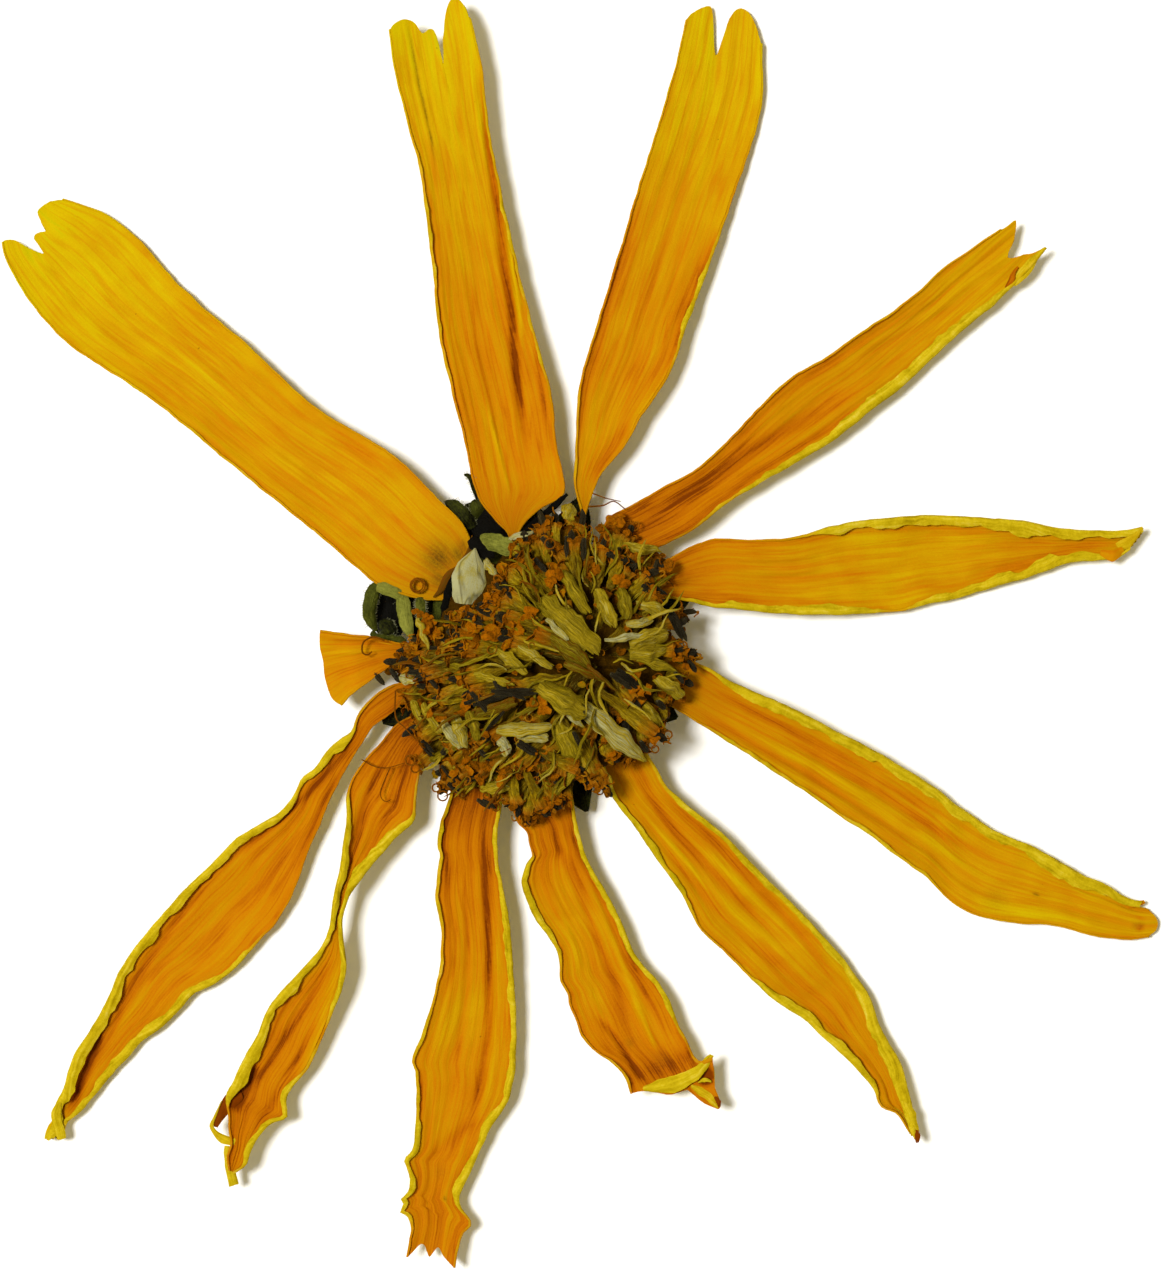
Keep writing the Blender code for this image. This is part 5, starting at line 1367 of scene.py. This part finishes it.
# %% Chaff scales that stand out
SCALES = [
    # foot, tip, width, lift above the crowd at foot, middle and tip, fold, tint, blunt
    ((-2.5, 2.3), (0.95, -1.15), 1.75, (-0.3, 0.7, 0.2), 1.2, 0.50, 1.0),
    ((-1.2, 4.0), (0.5, 1.3), 0.85, (-0.3, 0.4, 0.1), 1.2, 0.54, 0.6),
    ((-2.2, 1.1), (-0.85, -0.25), 0.45, (0.4, 0.8, 0.6), 0.8, 0.08, 0.6),
    ((0.85, 2.8), (2.0, 0.35), 1.0, (-0.1, 0.5, 0.2), 1.3, 0.40, 1.0),
    ((1.4, -0.35), (3.9, 0.15), 0.45, (0.0, 0.5, 0.3), 0.9, 0.03, 0.4),
    ((2.7, 0.65), (4.4, 1.0), 0.6, (0.0, 0.4, 0.1), 1.0, 0.18, 0.4),
    ((3.3, 1.95), (5.4, 1.35), 0.75, (0.0, 0.4, 0.1), 1.0, 0.28, 0.2),
    ((2.9, -0.6), (5.3, 0.1), 1.2, (0.0, 0.4, 0.0), 1.1, 0.38, 0.5),
    ((2.9, -1.2), (5.2, -0.8), 1.0, (0.0, 0.3, 0.0), 1.1, 0.42, 0.5),
    ((3.4, -1.4), (5.9, -2.2), 0.6, (0.0, 0.3, 0.0), 1.0, 0.50, 0.2),
    ((2.3, 2.9), (2.8, 0.9), 0.9, (0.0, 0.4, 0.1), 1.2, 0.66, 0.6),
    ((2.4, 5.55), (4.95, 5.2), 0.7, (0.1, 0.5, 0.2), 1.2, 0.36, 0.1),
    ((-2.5, -3.0), (0.4, -4.65), 1.65, (-0.2, 0.7, 0.2), 1.25, 0.48, 1.0),
    ((0.0, -4.3), (3.9, -7.8), 1.5, (-0.5, 0.3, 0.5), 1.0, 0.13, 0.1),
    ((-1.3, -4.4), (0.2, -5.6), 0.4, (-0.2, 0.2, 0.0), 0.8, 0.06, 0.2),
    ((-1.5, -5.3), (-0.3, -7.6), 1.25, (-0.3, 0.3, 0.2), 1.1, 0.50, 0.6),
    ((-5.1, -5.7), (-1.85, -5.6), 1.05, (0.0, 0.6, 0.3), 1.2, 0.24, 0.4),
    ((-4.0, -6.1), (-2.0, -6.2), 0.8, (0.0, 0.3, 0.1), 0.9, 0.16, 0.8),
    ((-6.6, -5.0), (-3.9, -4.0), 0.95, (0.0, 0.5, 0.2), 1.3, 0.86, 0.4),
    ((-8.5, -5.2), (-7.4, -7.0), 0.75, (0.1, 0.5, 0.3), 1.0, 0.1, 0.5),
    ((-7.8, -4.9), (-7.05, -6.9), 0.8, (0.0, 0.3, 0.1), 1.1, 0.26, 0.3),
    ((-7.0, -4.7), (-6.35, -6.5), 0.75, (0.0, 0.3, 0.1), 1.1, 0.66, 0.3),
    ((-5.3, 3.7), (-5.9, 4.7), 0.6, (-0.2, 0.2, -0.1), 0.9, 0.14, 0.4),
    ((-4.5, 5.95), (-3.0, 6.5), 0.4, (0.1, 0.3, 0.2), 0.6, 0.0, 0.3),
    ((-11.3, -2.55), (-10.3, -2.7), 0.85, (0.1, 0.3, 0.2), 0.8, 0.04, 1.0),
    ((-10.2, 1.1), (-9.4, -0.9), 0.5, (0.0, 0.3, 0.1), 0.9, 0.30, 0.1),
    ((-5.05, -6.3), (-4.4, -7.2), 0.75, (0.0, 0.2, 0.1), 0.8, 0.05, 1.0),
    ((-6.3, -9.3), (-4.4, -9.3), 0.85, (0.0, 0.3, 0.1), 1.0, 0.38, 0.3),
    ((-0.9, 7.1), (-0.7, 8.2), 0.9, (0.1, 0.3, 0.2), 0.9, 0.34, 0.4),
    ((4.5, -2.6), (6.2, -3.8), 1.0, (0.1, 0.5, 0.2), 1.1, 0.38, 0.7),
    ((3.8, -4.3), (4.85, -5.4), 0.6, (0.0, 0.3, 0.1), 1.0, 0.40, 0.4),
    ((-9.8, -4.2), (-8.7, -6.0), 0.65, (0.1, 0.4, 0.2), 1.0, 0.38, 0.3),
    ((-10.5, -3.9), (-9.9, -5.3), 0.5, (0.1, 0.3, 0.2), 1.0, 0.42, 0.3),
    ((-5.3, -0.9), (-3.3, -2.3), 0.75, (0.0, 0.4, 0.2), 1.0, 0.38, 0.2),
    ((-3.9, -0.5), (-1.8, -2.0), 0.65, (0.0, 0.4, 0.2), 1.0, 0.32, 0.2),
    ((-6.6, -2.3), (-4.1, -3.0), 0.55, (0.0, 0.4, 0.2), 1.0, 0.40, 0.2),
    ((-2.0, -0.1), (0.5, -2.0), 1.2, (-0.1, 0.4, 0.1), 1.2, 0.76, 0.5),
    ((-1.1, -1.6), (1.4, -2.8), 0.6, (0.0, 0.5, 0.2), 1.2, 0.84, 0.3),
    ((-0.3, -1.3), (2.1, -3.3), 0.4, (0.0, 0.5, 0.2), 1.2, 0.92, 0.2),
]
SCALE_SHEET = 0.06
KEEL = 0.10
FRAY = 0.22
CLEAR_OF_SCALES = 0.62


def add_scale(foot, tip, width, lifts, fold, tint, blunt, seed, rows=28, columns=15):
    """A folded scale with a keel, ribs, a crumpled skin and a frayed end."""
    middle = (np.array(foot) + np.array(tip)) / 2
    heights = [crowd_top(*spot) + lift for spot, lift in zip((foot, middle, tip), lifts)]
    points = [(*foot, heights[0]), (*middle, heights[1]), (*tip, heights[2])]
    shares = np.linspace(0.0, 1.0, rows)
    path = read_along(smooth_chain(points, 12), shares)
    end = 0.5 * blunt
    widths = width * np.interp(shares, (0.0, 0.15, 0.45, 0.8, 0.93, 1.0),
                               (0.55, 0.8, 1.0, 0.66 + 0.6 * end, 0.36 + end, 0.1 + 0.6 * end))
    widths = widths * (1.0 + 0.3 * ripple(np.stack([shares * 6, shares * 0, shares * 0], -1), 1.0, seed))
    t = np.linspace(-1.0, 1.0, columns)
    upper = blade(path, widths, 0.6 * fold, 0.35 * math.sin(seed), columns)
    ribs = 0.035 * ripple(np.stack([t * width * 2.2, t * 0, t * 0], -1), 1.6, seed)[None] * np.sqrt(shares)[:, None]
    upper = upper + facing(upper) * (KEEL * width * (1 - np.abs(t)) ** 2 + ribs * 2)[..., None]
    torn = 1.0 - FRAY * (0.3 + blunt) * np.abs(ripple(np.stack([t * 3.0, t * 0, t * 0], -1), 1.0, seed + 4))
    upper = np.stack([read_along(upper[:, c], shares * torn[c]) for c in range(columns)], axis=1)
    upper = crumple(upper, 0.16, 1.3, seed)
    yellow = np.clip((shares - 0.86) / 0.14, 0.0, 1.0)[:, None] * (0.38 - tint) * (tint < 0.3) * (blunt < 0.3)
    shade = tint + yellow + 0.12 * np.abs(t)[None]
    husks.sheet(upper, upper - facing(upper) * SCALE_SHEET, (0, 0), tint=shade, seed=seed,
                along=shares[:, None] * 2.0, across=t[None] * width)


for number, scale in enumerate(SCALES):
    add_scale(*scale, seed=1.7 * number)
cream_shares = np.linspace(0.0, 1.0, 24)
cream_path = read_along(smooth_chain([(-7.2, 1.9, 5.8), (-6.95, 3.3, 6.2), (-6.6, 5.4, 4.8)]), cream_shares)
cream_widths = np.interp(cream_shares, (0.0, 0.1, 0.45, 0.7, 1.0), (1.3, 1.7, 2.2, 1.7, 0.1))
cream = crumple(blade(cream_path, cream_widths, 0.5, -0.15, 13), 0.08, 1.4, 5.0)
add_blade(husks, cream, 0.06, tint=0.04, seed=3.0, across=np.linspace(0.0, 0.4, 13)[None])
print("scales placed one by one:", len(SCALES) + 1)

# %% [markdown]
# Some florets lie flat enough to be landmarks too: the long one that hangs out over a lower petal, a striped pair at
# the left. They get their root and mouth one by one. The rest follow a sunflower's own rule, the golden angle: each
# next floret is turned by 137.5 degrees and stands a little further out. Those that would grow through a big scale
# stay lower, and none reaches past the crowd's own outline.

# %% Fill the disc
LAID_FLORETS = [
    # root, mouth, height of both above the crowd, girth, tint of tube
    ((-6.3, -1.1), (-9.9, -2.15), 0.35, 0.5, 0.12),
    ((-6.6, -1.8), (-9.6, -2.5), 0.35, 0.45, 0.3),
    ((1.1, -3.4), (4.5, -6.0), 0.3, 0.95, 0.5),
    ((-1.4, -4.9), (1.3, -9.2), 0.3, 0.95, 0.42),
    ((-1.2, -5.3), (0.9, -8.9), 0.2, 0.8, 0.66),
    ((-3.5, -8.1), (-2.4, -10.6), 0.3, 0.8, 0.46),
    ((-4.3, -8.4), (-4.0, -10.3), 0.2, 0.7, 0.6),
    ((-2.7, -7.9), (-1.8, -10.0), 0.2, 0.65, 0.4),
    ((-2.6, -7.1), (-0.3, -8.1), 0.3, 0.8, 0.36),
    ((0.9, 2.6), (1.2, 5.2), 0.0, 0.8, 0.42),
    ((1.7, 2.8), (2.2, 4.9), 0.1, 0.75, 0.5),
    ((-0.3, 3.2), (-0.6, 5.6), -0.1, 0.8, 0.4),
    ((2.6, 2.2), (4.0, 3.6), 0.0, 0.75, 0.55),
    ((-2.4, 1.0), (-4.6, 2.6), 0.0, 0.8, 0.45),
    ((-1.9, 0.2), (-4.6, 1.2), 0.1, 0.75, 0.4),
    ((-1.6, -0.6), (-4.3, -0.3), 0.0, 0.8, 0.5),
    ((-4.2, -1.0), (-7.0, -0.7), 0.1, 0.75, 0.4),
    ((-4.4, -2.0), (-7.2, -2.6), 0.0, 0.8, 0.55),
    ((3.4, -0.6), (5.6, -0.9), 0.0, 0.75, 0.6),
]
FLORETS_BY_RULE = 240
ROOT_RING_RADIUS = 7.6
SPLAY_MIDDLE = (0.9, -1.3)
LOBE_ROOM = 0.35
SUNK = 0.7
BUNDLE_TURN = 0.9
GAP_SHADE = 0.25
GAP_REACH = 2.8


def crowded_by_scale(x, y):
    """Whether a point seen from above lies on one of the big scales."""
    for foot, tip, width, *_ in SCALES:
        start, run = np.array(foot), np.array(tip) - np.array(foot)
        share = np.clip((np.array([x, y]) - start) @ run / (run @ run), 0.0, 1.0)
        if np.linalg.norm(np.array([x, y]) - start - share * run) < CLEAR_OF_SCALES * width:
            return True
    return False


floret_draw = random.Random(31)
for root, mouth, lift, girth, tint in LAID_FLORETS:
    low = (*root, crowd_top(*root) + lift - 0.7)
    high = (*mouth, crowd_top(*mouth) + lift)
    grow_floret(low, high, girth, floret_draw, tint, 0.5, 0.8, 0.1)
grown = 0
for i in range(FLORETS_BY_RULE):
    radius = ROOT_RING_RADIUS * math.sqrt((i + 0.5) / FLORETS_BY_RULE)
    angle = i * GOLDEN_ANGLE + floret_draw.uniform(-0.15, 0.15)
    root = DISC_MIDDLE + radius * np.array([math.cos(angle), math.sin(angle)])
    bundle = BUNDLE_TURN * noise.noise(Vector((0.35 * root[0], 0.35 * root[1], 7.0)))
    away = math.atan2(root[1] - SPLAY_MIDDLE[1], root[0] - SPLAY_MIDDLE[0]) + bundle
    away += floret_draw.uniform(-0.25, 0.25)
    length = floret_draw.uniform(1.8, 3.6)
    flat = np.array([math.cos(away), math.sin(away)]) * length
    while not in_crowd(*(root + (1.0 + LOBE_ROOM / np.linalg.norm(flat)) * flat)) and np.linalg.norm(flat) > 0.3:
        flat = 0.85 * flat
    mouth = root + flat
    if not in_crowd(*mouth):
        continue
    sunk = crowded_by_scale(*mouth)
    high = crowd_top(*mouth) - floret_draw.uniform(0.0, 0.9) - SUNK * sunk
    low = min(crowd_top(*root), high + 1.0) - floret_draw.uniform(0.5, 1.5)
    grown += 1
    shade = GAP_SHADE * math.exp(-(math.hypot(*(root - SPLAY_MIDDLE)) / GAP_REACH) ** 2)
    grow_floret((*root, low), (*mouth, high), floret_draw.uniform(0.65, 0.95), floret_draw,
                floret_draw.uniform(0.2, 0.65) - shade, floret_draw.uniform(0.25, 0.72) - shade,
                0.0 if sunk else floret_draw.choice((0.0, 0.5, 0.8)))
print("florets by rule:", grown)

# %% [markdown]
# What makes a dried disc look as it does is the litter between the florets: withered lobes crumpled past recognition,
# straw-thin strips of chaff, and dark anthers that broke off. The largest dark ones and the brightest orange lumps are
# landmarks and are placed one by one. The rest is strewn by the golden angle.

# %% Litter between the florets
SMALL_SCALES = 26
DARK_ONES = [
    # one end, other end, how many side by side
    ((1.6, 5.1), (3.2, 4.4), 2), ((-0.95, 5.9), (-0.95, 4.6), 1), ((0.1, 5.9), (0.1, 4.6), 1),
    ((-2.9, 4.7), (-2.2, 3.9), 1), ((3.65, 3.1), (5.0, 2.4), 3), ((5.4, 1.5), (6.3, -0.3), 2),
    ((2.0, -2.2), (3.3, -3.2), 3), ((5.75, -2.3), (6.3, -3.0), 1), ((6.5, -1.45), (7.0, -2.2), 1),
    ((4.6, -4.0), (5.1, -4.5), 1), ((4.6, -6.0), (5.1, -6.6), 1), ((3.65, -6.6), (4.1, -7.3), 1),
    ((1.5, -9.2), (1.8, -9.9), 1), ((-2.5, -10.6), (-2.0, -11.2), 2), ((-6.3, -10.1), (-5.5, -10.7), 2),
    ((-8.2, -9.2), (-7.4, -9.8), 1), ((-9.9, -6.6), (-9.1, -7.4), 2), ((-3.9, -6.5), (-2.8, -7.2), 2),
    ((-6.4, -6.9), (-5.7, -7.6), 1), ((-6.9, -4.2), (-4.9, -3.7), 2), ((-5.6, -3.5), (-3.0, -3.4), 2),
    ((-5.2, -3.1), (-3.4, -3.9), 1), ((-6.6, -3.5), (-5.3, -5.0), 2), ((-6.0, -5.9), (-4.7, -4.5), 1),
    ((-5.3, -2.7), (-4.9, -3.6), 1), ((-11.1, -1.5), (-10.2, -2.1), 2), ((-12.8, -2.4), (-12.2, -3.1), 1),
    ((-11.9, -2.0), (-11.3, -2.8), 1), ((-9.5, -2.5), (-8.7, -3.4), 1), ((-6.5, 1.9), (-5.6, 1.3), 2),
    ((-7.3, 1.3), (-6.1, 0.8), 2), ((-8.1, 0.35), (-7.2, -0.4), 2), ((-5.0, 3.7), (-4.4, 2.4), 1),
    ((-2.4, 5.95), (-1.7, 5.1), 1), ((-0.5, -5.9), (0.0, -6.9), 1), ((-8.6, -8.1), (-8.0, -8.9), 1),
]
DARK_RADIUS = 0.13
DARK_GAP = 0.22
ORANGE_LUMPS = [
    # middle and size
    (1.9, 7.0, 0.9), (1.3, 6.6, 0.7), (2.45, 3.2, 0.8), (-2.55, -4.2, 0.8), (3.1, -2.8, 0.9), (3.7, -3.6, 0.8),
    (6.1, -0.9, 0.7), (6.0, -1.6, 0.6), (-5.4, 2.2, 0.9), (-6.6, 0.3, 1.1), (-5.6, 0.3, 0.9), (-9.8, 1.1, 0.6),
    (0.6, 4.2, 0.8), (-1.6, 3.4, 0.9), (-3.2, 1.2, 0.9), (-4.0, 0.4, 0.9), (-9.0, -5.2, 0.8), (-9.3, 0.0, 0.7),
    (5.1, 4.0, 0.8), (-4.8, -8.6, 0.8), (-6.9, -7.9, 0.9),
]
SCRAPS = 115
SLIVERS = 300
CURLS = 80
LITTER_REACH = 10.5


def litter_spots(count, draw):
    """Places by the golden angle inside the crowd's outline, each with the way out from where it splays."""
    for i in range(count):
        radius = LITTER_REACH * math.sqrt((i + 0.5) / count)
        angle = i * GOLDEN_ANGLE + draw.uniform(-0.3, 0.3)
        spot = DISC_MIDDLE + radius * np.array([math.cos(angle), math.sin(angle)])
        if in_crowd(*spot):
            yield spot, math.atan2(spot[1] - SPLAY_MIDDLE[1], spot[0] - SPLAY_MIDDLE[0])


litter_draw = random.Random(47)
for number, (start, end, count) in enumerate(DARK_ONES):
    run = np.array(end) - np.array(start)
    side = np.array([-run[1], run[0]]) / np.linalg.norm(run)
    for k in range(count):
        shift = side * DARK_GAP * (k - (count - 1) / 2) + run * litter_draw.uniform(-0.15, 0.15)
        spots = [np.array(start) + shift, np.array(start) + shift + 0.5 * run, np.array(end) + shift]
        rise = litter_draw.uniform(0.05, 0.3)
        path = smooth_chain([(*spot, crowd_top(*spot) + rise) for spot in spots], 4)
        add_anther(path, DARK_RADIUS * litter_draw.uniform(0.8, 1.2), litter_draw.uniform(0.2, 0.55), number + 0.3 * k)
for number, (x, y, size) in enumerate(ORANGE_LUMPS):
    for k in range(4):
        middle = (x + litter_draw.uniform(-0.4, 0.4), y + litter_draw.uniform(-0.4, 0.4), crowd_top(x, y) + 0.05 * k)
        add_scrap(middle, 0.8 * size, litter_draw, litter_draw.uniform(0.4, 0.7), 2.0 * number + k)
for spot, _ in litter_spots(SCRAPS, litter_draw):
    middle = (*spot, crowd_top(*spot) - litter_draw.uniform(0.1, 0.9) - SUNK * 0.5 * crowded_by_scale(*spot))
    tint = litter_draw.choice((0.1, 0.3, 0.45, 0.6, 0.95)) + litter_draw.uniform(-0.1, 0.1)
    add_scrap(middle, litter_draw.uniform(0.35, 0.8), litter_draw, tint, litter_draw.uniform(0.0, 90.0))
for spot, away in litter_spots(SMALL_SCALES, litter_draw):
    turn = away + litter_draw.uniform(-0.6, 0.6)
    length = litter_draw.uniform(1.4, 2.6)
    tip = spot + length * np.array([math.cos(turn), math.sin(turn)])
    lift = litter_draw.uniform(-0.4, 0.1)
    if in_crowd(*tip) and not crowded_by_scale(*tip):
        add_scale(spot, tip, litter_draw.uniform(0.35, 0.7), (lift - 0.6, lift, lift), litter_draw.uniform(0.9, 1.3),
                  litter_draw.choice((0.4, 0.5, 0.58, 0.68, 0.85)), litter_draw.uniform(0.6, 1.1),
                  litter_draw.uniform(0.0, 60.0), 16, 9)
for spot, away in litter_spots(SLIVERS, litter_draw):
    turn = away + litter_draw.uniform(-0.45, 0.45)
    foot = np.array([*spot, crowd_top(*spot) - litter_draw.uniform(-0.1, 0.7)])
    aim = (math.cos(turn), math.sin(turn), litter_draw.uniform(-0.35, 0.25))
    tint = litter_draw.choice((0.4, 0.52, 0.6, 0.68, 0.78, 0.95)) + litter_draw.uniform(-0.06, 0.06)
    length = litter_draw.uniform(1.2, 3.0)
    if in_crowd(*(spot + length * np.array(aim[:2]))):
        add_sliver(foot, aim, length, litter_draw.uniform(0.1, 0.26), tint, litter_draw, litter_draw.uniform(0, 60))
for spot, away in litter_spots(CURLS, litter_draw):
    turn = away + litter_draw.uniform(-1.5, 1.5)
    aim = np.array([math.cos(turn), math.sin(turn), 0.2])
    start = np.array([*spot, crowd_top(*spot) + litter_draw.uniform(-0.4, 0.1)])
    back = np.array([-aim[1], aim[0], litter_draw.uniform(-0.5, 0.5)])
    points = curl_points(start, aim, back, litter_draw.uniform(0.15, 0.4), litter_draw.uniform(0.4, 1.1))
    add_thread(styles, points, 0.04, 5, 1, tint=litter_draw.uniform(0.2, 0.9), across=0.0, seed=spot[0])
for surfaces, name, finish in ((tubes, "floret_tubes", TUBE_OLIVE), (lobes, "floret_lobes", LOBE_ORANGE),
                               (scraps, "withered_lobes", LOBE_ORANGE),
                               (anthers, "anthers", ANTHER_DARK), (husks, "chaff_scales", HUSK)):
    made = surfaces.piece(name, [finish], "disc", "disc")
    print(made.name, len(made.data.polygons), "faces")

# %% [markdown]
# Dried styles let go and curl into tiny rings, and a few long brown threads lie over the petals. They are threads
# through given points. A ring is two turns of a small circle.

# %% Loose styles and threads
RINGS = [
    # middle, height, radius
    (-10.2, 3.1, 3.8, 0.36), (-10.18, 3.1, 3.75, 0.46), (-9.0, -9.4, 4.8, 0.24), (-8.6, -9.9, 4.7, 0.3), (-5.9, -9.9, 4.8, 0.2),
    (-5.3, -10.6, 4.6, 0.24), (-3.1, -11.4, 4.3, 0.26), (5.3, -6.1, 5.6, 0.24), (4.5, -7.0, 5.3, 0.22),
    (-1.95, 5.6, 7.4, 0.32), (-10.6, -7.7, 4.6, 0.3), (-10.3, -8.2, 4.6, 0.26), (1.1, -9.6, 5.2, 0.2),
]
THREADS = [
    # points and radius
    ([(-13.66, -7.7, 3.5), (-12.9, -8.1, 3.6), (-12.1, -8.2, 3.7), (-11.0, -7.9, 3.8)], 0.045),
    ([(-11.9, -8.2, 3.7), (-12.25, -9.0, 3.6), (-12.5, -9.7, 3.5), (-12.4, -10.15, 3.5), (-12.1, -10.3, 3.5),
      (-11.85, -10.15, 3.5)], 0.045),
    ([(-11.5, -3.4, 5.0), (-11.5, -5.0, 5.0), (-10.9, -5.7, 5.2), (-10.15, -6.5, 5.4)], 0.06),
    ([(0.4, 7.96, 4.6), (1.3, 8.04, 4.4), (1.98, 8.3, 4.2), (2.7, 7.8, 4.0)], 0.06),
    ([(0.64, 8.8, 4.0), (1.5, 8.5, 4.0), (2.4, 8.3, 3.9)], 0.05),
    ([(-12.2, -0.3, 4.3), (-12.9, -0.1, 4.4), (-13.5, -0.4, 4.3), (-13.6, -1.0, 4.1), (-13.3, -1.2, 4.0),
      (-13.0, -1.0, 4.0)], 0.07),
    ([(-5.7, -7.5, 7.3), (-5.0, -7.2, 7.4), (-4.4, -6.9, 7.5)], 0.06),
]
for x, y, height, radius in RINGS:
    turns = np.linspace(0.0, 3.6 * math.pi, 30)
    ring = [(x + radius * math.cos(a), y + radius * math.sin(a), height + 0.06 * a / math.pi) for a in turns]
    add_thread(styles, ring, 0.06, 6, 1, tint=0.4, across=0.0, seed=x)
for points, radius in THREADS:
    add_thread(styles, points, radius, 6, 6, tint=0.25, across=0.0, seed=points[0][0])
made = styles.piece("styles", [STYLE_BROWN], "disc", "disc")
print(made.name, len(made.data.polygons), "faces")
